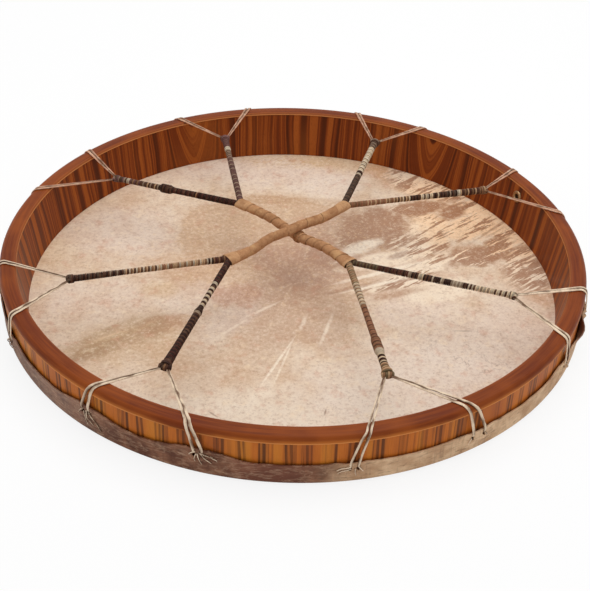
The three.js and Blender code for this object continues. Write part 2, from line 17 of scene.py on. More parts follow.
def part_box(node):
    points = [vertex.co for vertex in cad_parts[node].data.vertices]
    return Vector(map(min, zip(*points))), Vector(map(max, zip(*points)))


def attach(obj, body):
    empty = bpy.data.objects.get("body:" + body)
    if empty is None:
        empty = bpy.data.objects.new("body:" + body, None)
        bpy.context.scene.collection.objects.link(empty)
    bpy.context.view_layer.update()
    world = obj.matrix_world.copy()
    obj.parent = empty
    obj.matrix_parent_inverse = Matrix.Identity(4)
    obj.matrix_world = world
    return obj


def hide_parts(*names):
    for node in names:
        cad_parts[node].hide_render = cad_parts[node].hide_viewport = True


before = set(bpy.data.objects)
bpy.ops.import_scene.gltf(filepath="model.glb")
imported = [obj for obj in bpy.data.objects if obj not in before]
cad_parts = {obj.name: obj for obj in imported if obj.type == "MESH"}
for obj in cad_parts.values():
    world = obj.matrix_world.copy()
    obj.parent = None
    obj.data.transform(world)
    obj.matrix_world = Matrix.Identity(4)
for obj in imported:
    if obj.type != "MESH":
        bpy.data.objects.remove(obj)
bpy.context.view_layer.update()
print("solid pieces in the frame:", len(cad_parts))

# %% [markdown]
# The scene is in metres, but a drum maker thinks in millimetres, so sizes are written as so
# many MM. Most of them are read from the solid pieces: a turned ring, for instance, shows its
# outline in the radius and height of its corners.

# %% Read the hoop's sizes
MM = 0.001
HAIR = 0.05 * MM


def ring_size(node):
    """The corners of a CAD ring as radius and height, then the least and most of each."""
    corners = [(v.co.xy.length, v.co.z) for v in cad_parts[node].data.vertices]
    radii, heights = zip(*corners)
    return corners, min(radii), max(radii), min(heights), max(heights)


cap_corners, rim_inner, rim_radius, cap_foot, rim_top = ring_size("rim_cap")
cap_inner_foot = min(height for radius, height in cap_corners if radius < rim_inner + HAIR)
rebate_radius = min(radius for radius, height in cap_corners if height < cap_foot + HAIR)

wall_corners, _, _, wall_foot, wall_head = ring_size("inner_veneer")
wall_foot_radius = min(radius for radius, height in wall_corners if height < wall_foot + HAIR)
wall_head_radius = min(radius for radius, height in wall_corners if height > wall_head - HAIR)

_, _, side_radius, side_foot, side_head = ring_size("outer_veneer")
veneer = 0.8 * MM
print(f"rim {rim_radius / MM:.1f} mm, wall foot {wall_foot_radius / MM:.1f} mm")


# %% [markdown]
# A place on the drum is easiest to name by its radius, its direction from the middle in
# degrees, and its height.

# %% Polar places
def polar(radius, direction, height=0.0):
    angle = math.radians(direction)
    return Vector((radius * math.cos(angle), radius * math.sin(angle), height))


def direction_of(point):
    return math.degrees(math.atan2(point.y, point.x))


def turned_by(direction, mark):
    """How far a direction is turned from a mark, from -180 to 180 degrees."""
    return (direction - mark + 540) % 360 - 180


def apart(first, second):
    return abs(turned_by(first, second))


def smooth_step(low, high, value):
    share = min(1.0, max(0.0, (value - low) / (high - low)))
    return share * share * (3 - 2 * share)


def fade(away):
    """1 where away is 0, and down a cosine to 0 where it is 1 or more."""
    return 0.5 + 0.5 * math.cos(math.pi * min(1.0, away))


def aimed(place, facing):
    """A matrix that moves a shape to a place and turns its Z axis to face some way."""
    return Matrix.Translation(place) @ facing.to_track_quat("Z", "Y").to_matrix().to_4x4()


UP = Vector((0, 0, 1))

# %% [markdown]
# The camera stands where the photographer stood: in front of the drum and well above it, with
# a long lens. It leans a little to one side, so its axes are worked out one by one.

# %% Camera
def placed(name, data):
    """Makes an object of some data and puts it in the scene."""
    made = bpy.data.objects.new(name, data)
    bpy.context.scene.collection.objects.link(made)
    return made


camera_place = Vector((0, -1100.3, 787.2)) * MM
camera_target = Vector((2.67, -18.04, 0)) * MM
camera_roll = math.radians(1.878)

forwards = (camera_target - camera_place).normalized()
level_right = forwards.cross(UP).normalized()
level_up = level_right.cross(forwards)
camera_right = level_right * math.cos(camera_roll) + level_up * math.sin(camera_roll)
camera_up = level_up * math.cos(camera_roll) - level_right * math.sin(camera_roll)

camera_data = bpy.data.cameras.new("camera")
camera_data.lens = 77.61
camera_data.sensor_width = 36
camera = placed("camera", camera_data)
camera.matrix_world = Matrix.Translation(camera_place) @ Matrix(
    (camera_right, camera_up, -forwards)
).transposed().to_4x4()
bpy.context.scene.camera = camera
print("camera distance:", round((camera_target - camera_place).length, 3), "m")


# %% [markdown]
# A finish is a material whose nodes compute colour, roughness and small relief from where a
# point lies. Writing those sums with plus and times signs keeps them readable, so a small
# class wraps an output socket: each sum on it adds the Math node that does the work.

# %% Sums on sockets
class Wire:
    def __init__(self, tree, socket=None):
        self.tree = tree
        self.socket = socket

    def add(self, kind, settings, inputs, output=0):
        """Adds a node of a kind, with its settings first and then its inputs."""
        node = self.tree.nodes.new("ShaderNode" + kind)
        for name, value in settings.items():
            setattr(node, name, value)
        for name, value in inputs.items():
            if isinstance(value, Wire):
                self.tree.links.new(value.socket, node.inputs[name])
            else:
                node.inputs[name].default_value = value
        return Wire(self.tree, node.outputs[output])

    def maths(self, operation, *values):
        return self.add("Math", {"operation": operation}, dict(enumerate(values)))

    def __add__(self, other):
        return self.maths("ADD", self, other)

    def __sub__(self, other):
        return self.maths("SUBTRACT", self, other)

    def __rsub__(self, other):
        return self.maths("SUBTRACT", other, self)

    def __mul__(self, other):
        return self.maths("MULTIPLY", self, other)

    def __truediv__(self, other):
        return self.maths("DIVIDE", self, other)

    __radd__ = __add__
    __rmul__ = __mul__


# %% [markdown]
# A few more words make the finishes short to write: noise at a scale, a soft threshold, a mix
# of two colours, a pile of colours with a mask each, and the direction round the hoop.

# %% Words for finishes
def between(value, low, high):
    """0 where value is below low, 1 above high, and a soft step in between."""
    settings = {"interpolation_type": "SMOOTHSTEP"}
    return value.add("MapRange", settings, {"Value": value, "From Min": low, "From Max": high})


def speckle(vector, scale, detail=3.0, roughness=0.55):
    inputs = {"Vector": vector, "Scale": scale, "Detail": detail, "Roughness": roughness}
    return vector.add("TexNoise", {}, inputs)


def line_noise(value, scale):
    """Noise along one number, which gives stripes."""
    inputs = {"W": value, "Scale": scale, "Detail": 2.0}
    return value.add("TexNoise", {"noise_dimensions": "1D"}, inputs)


def mixed(factor, first, second):
    """The first colour, turning into the second as factor goes from 0 to 1."""
    inputs = {0: factor, 6: first, 7: second}
    return factor.add("Mix", {"data_type": "RGBA"}, inputs, 2)


def tint(red, green, blue):
    """A colour given as the eye sees it, 0 to 255, as linear light."""
    linear = [((c / 255 + 0.055) / 1.055) ** 2.4 for c in (red, green, blue)]
    return (*linear, 1.0)


def layered(colour, *layers):
    """Lays colours over a first one. Each layer is a mask, then its red, green and blue."""
    for mask, *over in layers:
        colour = mixed(mask, colour, tint(*over))
    return colour


def stretched(vector, x, y, z):
    return vector.add("VectorMath", {"operation": "MULTIPLY"}, {0: vector, 1: (x, y, z)})


def drawn_out(place, across, upwards, detail=2.0, roughness=0.55):
    """Noise with one scale across the drum and another one up its side."""
    return speckle(stretched(place, across, across, upwards), 1.0, detail, roughness)


class Finish:
    """A material under way: its tree's Principled shader and the object coordinates."""

    def __init__(self, name, roughness=0.5, shine=0.2, metallic=0.0):
        self.material = bpy.data.materials.new(name)
        self.material.use_nodes = True
        self.tree = self.material.node_tree
        self.shader = self.tree.nodes["Principled BSDF"]
        constants = {"Roughness": roughness, "Specular IOR Level": shine, "Metallic": metallic}
        for socket, value in constants.items():
            self.shader.inputs[socket].default_value = value
        self.start = Wire(self.tree)
        self.place = self.start.add("TexCoord", {}, {}, "Object")
        parts = self.start.add("SeparateXYZ", {}, {0: self.place}).socket.node.outputs
        self.x, self.y, self.z = (Wire(self.tree, part) for part in parts)

    def angle(self):
        """The direction round the hoop, in radians."""
        return self.start.maths("ARCTAN2", self.y, self.x)

    def radius(self):
        return self.start.maths("SQRT", self.x * self.x + self.y * self.y)

    def give(self, socket, wire):
        self.tree.links.new(wire.socket, self.shader.inputs[socket])

    def relief(self, height, strength, distance):
        inputs = {"Height": height, "Strength": strength, "Distance": distance}
        self.give("Normal", self.start.add("Bump", {}, inputs))


# %% [markdown]
# Every new piece starts as a bmesh. When its shape is done it becomes a mesh object that rides
# on the drum, takes the place of the solid piece that it replaces, which is hidden, and gets its finish.
# Faces are shaded smooth, and only edges sharper than a given angle stay crisp.

# %% From bmesh to piece
def from_shape(name, shape):
    """Turns a bmesh into a mesh object in the scene."""
    mesh = bpy.data.meshes.new(name)
    shape.to_mesh(mesh)
    shape.free()
    return placed(name, mesh)


def make_piece(shape, name, finish, node, crisp_degrees=60):
    crisp = math.radians(crisp_degrees)
    for face in shape.faces:
        face.smooth = True
    for edge in shape.edges:
        if len(edge.link_faces) == 2:
            edge.smooth = edge.calc_face_angle() < crisp
    piece = from_shape(name, shape)
    piece.data.materials.append(finish.material)
    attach(piece, "root")
    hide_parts(node)
    return piece


# %% [markdown]
# The hoop's parts are rings. Each is a closed outline of radius and height, drawn once and
# spun round the drum's axis.

# %% Turned shapes
def arc(centre, radius, start, end, steps):
    """Points on an arc from one angle to another, in degrees."""
    angles = [math.radians(start + (end - start) * step / steps) for step in range(steps + 1)]
    return [(centre[0] + radius * math.cos(a), centre[1] + radius * math.sin(a)) for a in angles]


def turned(outline, steps):
    shape = bmesh.new()
    corners = [shape.verts.new((radius, 0, height)) for radius, height in outline]
    edges = [shape.edges.new(pair) for pair in zip(corners, corners[1:] + corners[:1])]
    bmesh.ops.spin(
        shape, geom=corners + edges, cent=(0, 0, 0), axis=(0, 0, 1),
        angle=math.tau, steps=steps, use_merge=True,
    )
    bmesh.ops.remove_doubles(shape, verts=shape.verts, dist=HAIR / 10)
    bmesh.ops.recalc_face_normals(shape, faces=shape.faces)
    return shape


def make_ring(outline, name, finish, node, crisp_degrees=40):
    ring_steps = 360
    return make_piece(turned(outline, ring_steps), name, finish, node, crisp_degrees)


# %% [markdown]
# The rim cap is solid red-brown wood. Its grain runs along the hoop, so the noise is drawn out
# along the direction round the drum and squeezed across it. The direction is given as a point
# on a small circle, which closes on itself and leaves no seam.

# %% Cap wood
def round_the_hoop(finish, turns, across, upwards):
    """Coordinates that run with the hoop: slow along it, fast across it and up it."""
    flat = stretched(finish.place, 1, 1, 0)
    unit = flat.add("VectorMath", {"operation": "NORMALIZE"}, {0: flat})
    run = stretched(unit, turns, turns, 0)
    side = run.add("CombineXYZ", {}, {"Z": finish.radius() * across + finish.z * upwards})
    return run.add("VectorMath", {"operation": "ADD"}, {0: run, 1: side})


def within(value, edge, low, high):
    """1 where value is less than low millimetres past an edge, 0 from high millimetres on."""
    return 1.0 - between(value, edge + low * MM, edge + high * MM)


cap_wood = Finish("cap_wood", roughness=0.45, shine=0.1)
cap_grain = speckle(round_the_hoop(cap_wood, 5, 500, 260), 1.0, 5.0, 0.6)
cap_streak = speckle(round_the_hoop(cap_wood, 3, 120, 70), 1.0, 3.0)
cap_cloud = speckle(cap_wood.place, 13.0, 3.0)
outside = between(cap_wood.radius(), rim_radius - 3 * MM, rim_radius - 1 * MM)
# A golden band low on the cap's outer side and a pale line along the bead are painted highlights.
low_side_highlight = within(cap_wood.z, rim_top, -6.5, -2.5) * outside
bead_highlight = within(cap_wood.z, cap_foot, 1.2, 2.2) * outside
inner_lip = within(cap_wood.radius(), rim_inner, 1.2, 3.0)
inner_line = within(cap_wood.z, cap_inner_foot, 0.8, 2.0) * inner_lip
cap_colour = layered(
    mixed(between(cap_grain, 0.3, 0.72), tint(104, 43, 13), tint(136, 65, 23)),
    (between(cap_streak, 0.5, 0.72) * 0.45, 94, 36, 11),
    (between(cap_cloud, 0.45, 0.7) * 0.5, 156, 78, 26),
    (between(cap_cloud, 0.48, 0.3) * 0.35, 108, 40, 16),
    (between(cap_cloud, 0.3, 0.62) * low_side_highlight, 192, 110, 44),
    (inner_lip * 0.25, 180, 108, 62),
    (inner_line * 0.8, 218, 146, 88),
    (between(cap_cloud, 0.2, 0.5) * bead_highlight * 0.6, 226, 150, 84),
)
cap_wood.give("Base Color", cap_colour)
cap_wood.give("Roughness", cap_grain * 0.2 + 0.36)
cap_wood.relief(cap_grain, 0.1, 0.4 * MM)

# %% [markdown]
# The cap laps over the core with a deep outer part and a shallow inner lip. A half round bead
# runs along its lower outside edge, under a fine groove, and both top edges are rounded off.

# %% Rim cap
cap_outer_round = 5.5 * MM
cap_inner_round = 2.6 * MM
bead_height = 1.9 * MM
groove = 0.5 * MM
crown = 0.25 * MM

bead_centre = (rim_radius - bead_height / 2, cap_foot + bead_height / 2)
outer_centre = (rim_radius - cap_outer_round, rim_top - cap_outer_round - crown)
inner_centre = (rim_inner + cap_inner_round, rim_top - cap_inner_round - crown / 2)
cap_points = [
    (rim_inner + 0.3 * MM, cap_inner_foot),
    (rebate_radius, cap_inner_foot),
    (rebate_radius, cap_foot),
    *arc(bead_centre, bead_height / 2, -90, 90, 6),
    (rim_radius - groove * 1.5, cap_foot + bead_height + 0.1 * MM),
    (rim_radius - groove, cap_foot + bead_height + 0.45 * MM),
    *arc(outer_centre, cap_outer_round, 0, 90, 9),
    (rim_radius - 8.5 * MM, rim_top),
    *arc(inner_centre, cap_inner_round, 90, 180, 6),
    (rim_inner, cap_inner_foot + 0.3 * MM),
]
cap_ring = make_ring(cap_points, "cap_ring", cap_wood, "rim_cap", 50)
print("rim cap:", len(cap_ring.data.polygons), "faces")


# %% [markdown]
# Under the cap stands the core, a bent wooden wall that leans outwards a little towards the
# top. Its lower outside corner is rounded, because the wet skin is pulled over it. Only a
# sliver of it shows from below, so plain pale wood with fine lines along the hoop is enough.

# %% Core wood
core_wood = Finish("core_wood", roughness=0.62)
core_grain = speckle(round_the_hoop(core_wood, 9, 900, 500), 1.0, 4.0)
core_wood.give("Base Color", mixed(core_grain, tint(168, 128, 84), tint(212, 178, 132)))
core_wood.relief(core_grain, 0.2, 0.3 * MM)

# %% Hoop core
glue = 0.2 * MM
core_radius = side_radius - veneer - glue
bearing_round = side_foot - wall_foot
core_points = [
    (wall_foot_radius + veneer + glue, wall_foot),
    *arc((core_radius - bearing_round, side_foot), bearing_round, -90, 0, 8),
    (core_radius, cap_foot - glue),
    (rebate_radius - glue, cap_foot - glue),
    (rebate_radius - glue, cap_inner_foot - glue),
    (wall_head_radius + veneer + glue, cap_inner_foot - glue),
]
core_ring = make_ring(core_points, "core_ring", core_wood, "hoop_core")

# %% [markdown]
# The inside of the wall is faced with striped red-brown veneer. Its leaves are a sixth of the
# hoop wide, and each is the mirror image of its neighbour, as a veneer is opened like a book.
# At the back, in the middle of a leaf, the stripes close into a pointed arch. They come from
# noise along one number: the distance from the leaf's middle, pulled into a V by the height.

# %% Inner veneer
inner_stripes = Finish("inner_stripes", roughness=0.42, shine=0.14)
leaf_width = math.radians(60)
book_spine = math.radians(86)
way = inner_stripes.angle()
in_leaf = way.maths("PINGPONG", way - book_spine, leaf_width)
pair = way.maths("FLOOR", (way - book_spine + leaf_width) / (2 * leaf_width))
pair = way.maths("FLOORED_MODULO", pair, 3.0)
from_middle = (in_leaf - leaf_width * 0.51) * (wall_head_radius / MM)
from_middle = way.maths("SQRT", from_middle * from_middle + 30.0)
height = inner_stripes.z / MM
arch = (1.0 - between(from_middle, 8.0, 46.0)) * between(inner_stripes.y, 0.09, 0.15)
waver = drawn_out(inner_stripes.place, 18, 9) * 9.0
stripe_at = from_middle - (height - 20.0) * arch * 0.34 + waver
broad = line_noise(stripe_at + pair * 400.0, 0.1)
narrow = line_noise(stripe_at + pair * 150.0, 0.42)
fine = drawn_out(inner_stripes.place, 1400, 60)
gold_zone = drawn_out(inner_stripes.place, 14, 3)
to_side = between(inner_stripes.x, 0.18, 0.27) * 0.2
figure = broad * (to_side + 0.68) + narrow * (0.32 - to_side)
inner_colour = layered(
    mixed(between(figure + to_side * 0.3, 0.35, 0.52), tint(84, 35, 10), tint(124, 54, 15)),
    (between(figure, 0.47, 0.62), 162, 84, 30),
    (between(gold_zone, 0.5, 0.68) * 0.4, 168, 92, 34),
    (between(fine, 0.45, 0.75) * 0.3, 84, 38, 12),
)
inner_stripes.give("Base Color", inner_colour)
inner_stripes.give("Roughness", figure * 0.2 + 0.32)
inner_stripes.relief(fine, 0.08, 0.2 * MM)


# %% [markdown]
# The vent is a small hole through the wall with a metal eyelet on each side. The hole is cut
# out of the two veneers and the core with a Boolean modifier, which is applied at once so that
# the drill, a plain rod, can be taken away again.

# %% Drill the vent
def drill_vent(piece):
    """Cuts the drill out of a piece and keeps what is left as the piece's mesh."""
    hole = piece.modifiers.new("vent", "BOOLEAN")
    hole.operation = "DIFFERENCE"
    hole.object = drill
    bpy.context.view_layer.update()
    evaluated = piece.evaluated_get(bpy.context.evaluated_depsgraph_get())
    drilled = bpy.data.meshes.new_from_object(evaluated)
    piece.modifiers.clear()
    piece.data = drilled


vent_direction = 27.6
vent_low, vent_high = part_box("vent_eyelet_outside")
vent_height = (vent_low.z + vent_high.z) / 2
vent_radius = 4.4 * MM
drill_shape = bmesh.new()
bmesh.ops.create_cone(
    drill_shape, cap_ends=True, segments=32, radius1=vent_radius, radius2=vent_radius, depth=60 * MM,
    matrix=aimed(polar(290 * MM, vent_direction, vent_height), polar(1, vent_direction)),
)
drill = from_shape("drill", drill_shape)

inner_points = [
    (wall_foot_radius, wall_foot),
    (wall_foot_radius + veneer, wall_foot),
    (wall_head_radius + veneer, wall_head),
    (wall_head_radius, wall_head),
]
inner_leaf = make_ring(inner_points, "inner_leaf", inner_stripes, "inner_veneer")
print("wall height:", round((wall_head - wall_foot) / MM, 1), "mm")

# %% [markdown]
# The outside is faced with golden wood with upright dark bars, single or two or three together.
# One noise gives single bars. A slow cosine round the hoop, wandering a little, says where a
# group is, and a fast one draws the bars in it. A whole number of each fits round the hoop, so
# there is no seam.

# %% Outer veneer
outer_stripes = Finish("outer_stripes", roughness=0.4, shine=0.14)
lines_round = 400
groups_round = 96
turn_round = outer_stripes.angle()
sway = drawn_out(outer_stripes.place, 25, 7)
wander = drawn_out(outer_stripes.place, 14, 1)
line_wave = outer_stripes.start.maths("COSINE", turn_round * lines_round + sway * 18.0)
group_wave = outer_stripes.start.maths("COSINE", turn_round * groups_round + wander * 12.0)
faint = drawn_out(outer_stripes.place, 45, 1, 1.0)
group = between(group_wave, -0.1, 0.3) * between(faint, 0.32, 0.48)
bar_noise = drawn_out(outer_stripes.place, 170, 2, 1.0)
dark_line = between(line_wave, -0.7, 0.3) * group * (between(bar_noise, 0.4, 0.56) * 0.5 + 0.5)
fine_side = drawn_out(outer_stripes.place, 1000, 45, 3.0)
band_noise = drawn_out(outer_stripes.place, 40, 1)
outer_colour = layered(
    mixed(fine_side, tint(164, 84, 26), tint(212, 122, 44)),
    (group * 0.42, 138, 72, 30),
    (between(band_noise, 0.5, 0.64) * 0.6, 206, 130, 44),
    (between(band_noise, 0.46, 0.32) * 0.5, 150, 74, 34),
    (between(bar_noise, 0.58, 0.66) * 0.5, 112, 58, 30),
    (dark_line * 0.8, 84, 46, 22),
    (between(fine_side, 0.6, 0.75) * 0.4, 110, 58, 28),
)
outer_stripes.give("Base Color", outer_colour)
outer_stripes.give("Roughness", fine_side * 0.15 + 0.34)
outer_stripes.relief(fine_side, 0.08, 0.2 * MM)

outer_points = [
    (side_radius - veneer, side_foot),
    (side_radius, side_foot),
    (side_radius, side_head),
    (side_radius - veneer, side_head),
]
outer_leaf = make_ring(outer_points, "outer_leaf", outer_stripes, "outer_veneer")
for piece in (core_ring, inner_leaf, outer_leaf):
    drill_vent(piece)
bpy.data.objects.remove(drill)

# %% [markdown]
# Each eyelet is a rolled brass ring with a short barrel. It is turned round its own axis and
# then aimed: the outer one straight out, the inner one square to the leaning wall.

# %% Eyelets
brass = Finish("eyelet_metal", roughness=0.3, shine=0.5, metallic=1.0)
tarnish = speckle(brass.place, 260.0, 4.0)
brass.give("Base Color", mixed(tarnish, tint(116, 86, 60), tint(196, 158, 116)))
brass.give("Roughness", tarnish * 0.35 + 0.18)

eyelet_radius = 6.8 * MM
eyelet_bore = 3 * MM
eyelet_barrel = 3.8 * MM
eyelet_crown = 1.5 * MM
eyelet_depth = 4.5 * MM
seat = 0.3 * MM
roll_middle = (eyelet_radius + eyelet_bore) / 2
roll_half = eyelet_radius - roll_middle
eyelet_points = [
    (eyelet_bore, -eyelet_depth),
    (eyelet_barrel, -eyelet_depth),
    (eyelet_barrel, 0),
    *((r, z * eyelet_crown / roll_half) for r, z in arc((roll_middle, 0), roll_half, 0, 180, 10)),
]

rise = (vent_height - wall_foot) / (wall_head - wall_foot)
wall_radius = wall_foot_radius + (wall_head_radius - wall_foot_radius) * rise
lean = math.atan2(wall_head_radius - wall_foot_radius, wall_head - wall_foot)
outward = polar(1, vent_direction)
inward = -outward * math.cos(lean) + UP * math.sin(lean)
outer_seat = polar(side_radius + seat, vent_direction, vent_height)
inner_seat = polar(wall_radius, vent_direction, vent_height) + inward * seat
for name, node, place, facing in (
    ("outer_eyelet", "vent_eyelet_outside", outer_seat, outward),
    ("inner_eyelet", "vent_eyelet_inside", inner_seat, inward),
):
    shape = turned(eyelet_points, 40)
    bmesh.ops.transform(shape, matrix=aimed(place, facing), verts=shape.verts)
    make_piece(shape, name, brass, node, 40)

# %% [markdown]
# The lacing is described next, since both the skin and the strips need it. Four arms of the
# grip leave the crossing; each ends in a fork from which two wrapped spokes run to a knot; and
# from each knot two doubled laces go over the rim and in through slits of the skin. A lace is
# listed by its directions at the rim and at its slits, and by how far it lifts the skin's edge:
# strong, middle or weak. A spoke's wrapping is listed as stretches: how far from the fork each
# one reaches, how thick the spoke is there, and the tones that its turns take in order.

# %% The lacing's plan
slit_spacing = 7.5 * MM
lace_width = 3.0 * MM
narrow_lace = 2.2 * MM
Arm = namedtuple("Arm", "direction length")
Lace = namedtuple("Lace", "rim slit lift spacing width", defaults=[slit_spacing, lace_width])
Spoke = namedtuple("Spoke", "arm direction slack laces wraps")

strong, middle, weak = 7 * MM, 4 * MM, 1.5 * MM
lace_height = rim_top + 0.9 * MM
crossing = Vector((2.6 * MM, 19.3 * MM, lace_height))
arms = [Arm(46.8, 75 * MM), Arm(140.4, 81 * MM), Arm(219.9, 89 * MM), Arm(314.0, 78 * MM)]
left_lace = Lace(190.4, 189.4, middle, width=narrow_lace)
front_lace = Lace(283.6, 281.1, weak, width=narrow_lace)
spokes = [
    Spoke(0, 28.6, -5, [Lace(14.6, 13.6, middle), Lace(33.1, 33.9, middle)], [
        (22, 6.4, "rust brown brown"), (27, 6.0, "tan rust"), (38, 5.8, "tan rust brown"),
        (56, 5.8, "tan brown rust tan brown"), (70, 6.0, "umber tan brown cream"),
        (80, 6.2, "dark umber dark umber"), (95, 6.4, "cream silver umber"),
        (108, 6.8, "dark umber cream umber"), (124, 7.4, "grey dark umber slate dark"),
        (128, 7.6, "white silver"), (170, 7.6, "brown umber tan oxblood umber"),
    ]),
    Spoke(0, 67.0, 0, [Lace(59.8, 58.8, weak), Lace(75.7, 77.0, middle)], [
        (60, 7.2, "slate umber slate dark"), (64, 7.2, "silver"), (67, 7.2, "dark"),
        (98, 7.4, "silver cream umber white"), (124, 7.4, "white silver cream grey"),
        (150, 9.0, "umber slate grey"),
    ]),
    Spoke(1, 111.7, 4.5, [Lace(102.1, 101.0, middle), Lace(118.7, 120.0, weak)], [
        (60, 7.0, "plum umber plum grey umber"), (95, 6.4, "umber grey plum umber plum"),
        (108, 6.6, "umber grey"), (116, 7.2, "silver white"), (150, 8.6, "plum umber plum oxblood"),
    ]),
    Spoke(1, 150.2, 3, [Lace(143.8, 143.0, middle), Lace(162.4, 163.6, middle)], [
        (45, 7.2, "dark dark oxblood"), (48, 6.8, "brown"), (74, 6.8, "oxblood dark umber"),
        (80, 10.0, "dark umber"), (88, 10.0, "umber dark"), (92, 6.4, "dark"),
        (112, 6.0, "umber grey umber tan umber"), (126, 6.0, "plum brown umber"), (129, 6.2, "silver"),
        (170, 6.8, "plum slate umber grey"),
    ]),
    Spoke(2, 199.9, -1, [left_lace, Lace(207.3, 206.7, middle)], [
        (13, 7.0, "oxblood brown umber"), (20, 6.4, "silver dark"), (52, 5.8, "tan tan silver brown"),
        (68, 6.0, "brown silver tan rust"), (102, 5.8, "umber tan brown silver"),
        (122, 6.4, "dark umber grey umber"), (150, 6.8, "dark umber slate dark umber"),
        (170, 8.2, "dark umber slate"),
    ]),
    Spoke(2, 241.9, -6, [Lace(234.3, 232.9, strong), Lace(252.9, 255.1, strong)], [
        (40, 6.8, "dark oxblood dark"), (44, 6.2, "silver"), (48, 6.0, "dark"),
        (82, 5.6, "cream silver dark umber"), (92, 8.2, "dark"), (95, 7.6, "grey"),
        (140, 7.6, "dark umber dark"), (172, 9.0, "dark oxblood dark"), (176, 9.4, "grey"),
        (190, 11.0, "umber dark dark brown"),
    ]),
    Spoke(3, 292.5, 3.5, [front_lace, Lace(302.1, 304.3, weak, 13 * MM)], [
        (36, 7.0, "tan brown tan olive"), (72, 6.0, "cream silver brown"),
        (120, 6.8, "rust brown rust umber"), (126, 9.6, "rust brown umber"),
        (141, 9.6, "umber brown rust"), (147, 7.4, "silver"), (162, 7.8, "umber cream dark"),
        (190, 10.6, "tan brown olive"),
    ]),
    Spoke(3, 338.7, -0.4, [Lace(330.8, 330.6, middle), Lace(346.6, 347.4, strong)], [
        (28, 6.2, "olive slate olive umber"), (58, 6.8, "oxblood umber dark umber"),
        (61, 6.8, "grey"), (68, 7.0, "umber dark"), (73, 7.0, "silver cream"), (82, 7.0, "dark umber"),
        (84, 6.8, "silver"), (92, 6.8, "dark"), (95, 6.6, "silver grey"), (101, 6.6, "dark"),
        (114, 6.4, "grey silver"), (119, 6.2, "umber dark"), (127, 6.0, "silver umber"),
        (146, 5.8, "cream silver cream grey"), (172, 6.8, "umber cream silver"),
    ]),
]
all_laces = [lace for spoke in spokes for lace in spoke.laces]
print("spokes:", len(spokes), "laces:", len(all_laces))

# %% [markdown]
# The skin is one round of rawhide, turned up over the hoop's edge. Its raw edge rises wherever
# a lace pulls on it. The same rule as in the solid model gives the height of that edge, so
# that the slits of the skin and the ends of the laces meet.

# %% The skin's edge
skin_corners = ring_size("drum_skin")[0]
skin_radius = max(radius for radius, height in skin_corners if 5 * MM < height < 7 * MM)
skin_thickness = 1.2 * MM
skin_lip = 2 * MM
skin_round = 6 * MM
edge_drop = 22.6 * MM
waves_round = 3
wave_crest = 224
lift_reach = 52 * MM
slit_below_edge = 5.5 * MM
slit_half_width = 2.0 * MM
slit_half_height = 1.9 * MM


def beside(direction, mark):
    """How far a direction lies from a mark, as a distance along the hoop."""
    return math.radians(turned_by(direction, mark)) * skin_radius


def along_hoop(direction, distance):
    return direction + math.degrees(distance / skin_radius)


def raw_edge(direction):
    wave = math.cos(math.radians(waves_round * (direction - wave_crest))) * MM
    lifts = [
        lace.lift * fade(abs(beside(direction, lace.slit)) / lift_reach) for lace in all_laces
    ]
    return cap_foot - edge_drop + wave + max(lifts)


def slit_height(lace):
    return raw_edge(lace.slit) - slit_below_edge


slits = [
    (along_hoop(lace.slit, half * lace.spacing / 2) % 360, slit_height(lace), lace)
    for lace in all_laces
    for half in (-1, 1)
]
print("slits:", len(slits))

# %% [markdown]
# Rawhide is a patchwork of tones: cream where the hide is thin, tan and pink-brown where the
# hair was dark, with streaks that follow the hair. Each patch is a soft ellipse with a ragged
# border, laid on a speckled cream ground. The patches are listed by place, size and turn.
# The renderer keeps the values it still needs in a store of 255 numbers, and a hide whose
# patches are all measured at once overflows it and turns black. So each patch waits for the
# colour that was laid before it: a billionth of that colour is added to its coordinates.

# %% Rawhide
rawhide = Finish("rawhide", roughness=0.6, shine=0.2)
hide_place = rawhide.place
ragged_fine = speckle(hide_place, 85.0, 5.0, 0.65) - 0.5
ragged_broad = speckle(hide_place, 17.0, 3.0) - 0.5
hair_turn = 41


def laid_out(place, x, y, half_x, half_y, turn):
    """Coordinates that are 1 long on the rim of an ellipse, given in millimetres."""
    inputs = {
        "Vector": place,
        "Location": (x * MM, y * MM, 0),
        "Rotation": (0, 0, math.radians(turn)),
        "Scale": (half_x * MM, half_y * MM, 1),
    }
    return place.add("Mapping", {"vector_type": "TEXTURE"}, inputs)


def hair_noise(length, width, detail):
    """Noise drawn out along the lie of the hair."""
    return speckle(laid_out(hide_place, 0, 0, length, width, hair_turn), 1.0, detail, 0.6)


hair = hair_noise(9, 2, 4.0)
hair_broad = hair_noise(54, 11, 5.0)
hair_thin = hair_noise(34, 4.2, 4.0)


def after(earlier, place):
    """The same place, but one that is worked out only once an earlier value is known."""
    inputs = {0: earlier, 1: (1e-9, 1e-9, 1e-9), 2: place}
    return place.add("VectorMath", {"operation": "MULTIPLY_ADD"}, inputs)


def patch(x, y, half_x, half_y, turn, rag, soft, earlier):
    """1 inside a ragged ellipse, whose place and size are in millimetres, 0 outside."""
    local = laid_out(after(earlier, hide_place), x, y, half_x, half_y, turn)
    reach = local.add("VectorMath", {"operation": "LENGTH"}, {0: local}, 1)
    reach = reach + ragged_fine * rag + ragged_broad * (rag * 1.6)
    return 1.0 - between(reach, 1.0 - soft, 1.0 + soft)


cream = tint(230, 207, 183)
pale_pink = tint(228, 206, 192)
tan = tint(204, 167, 134)
pink_brown = tint(178, 138, 116)
white_cream = tint(250, 234, 212)

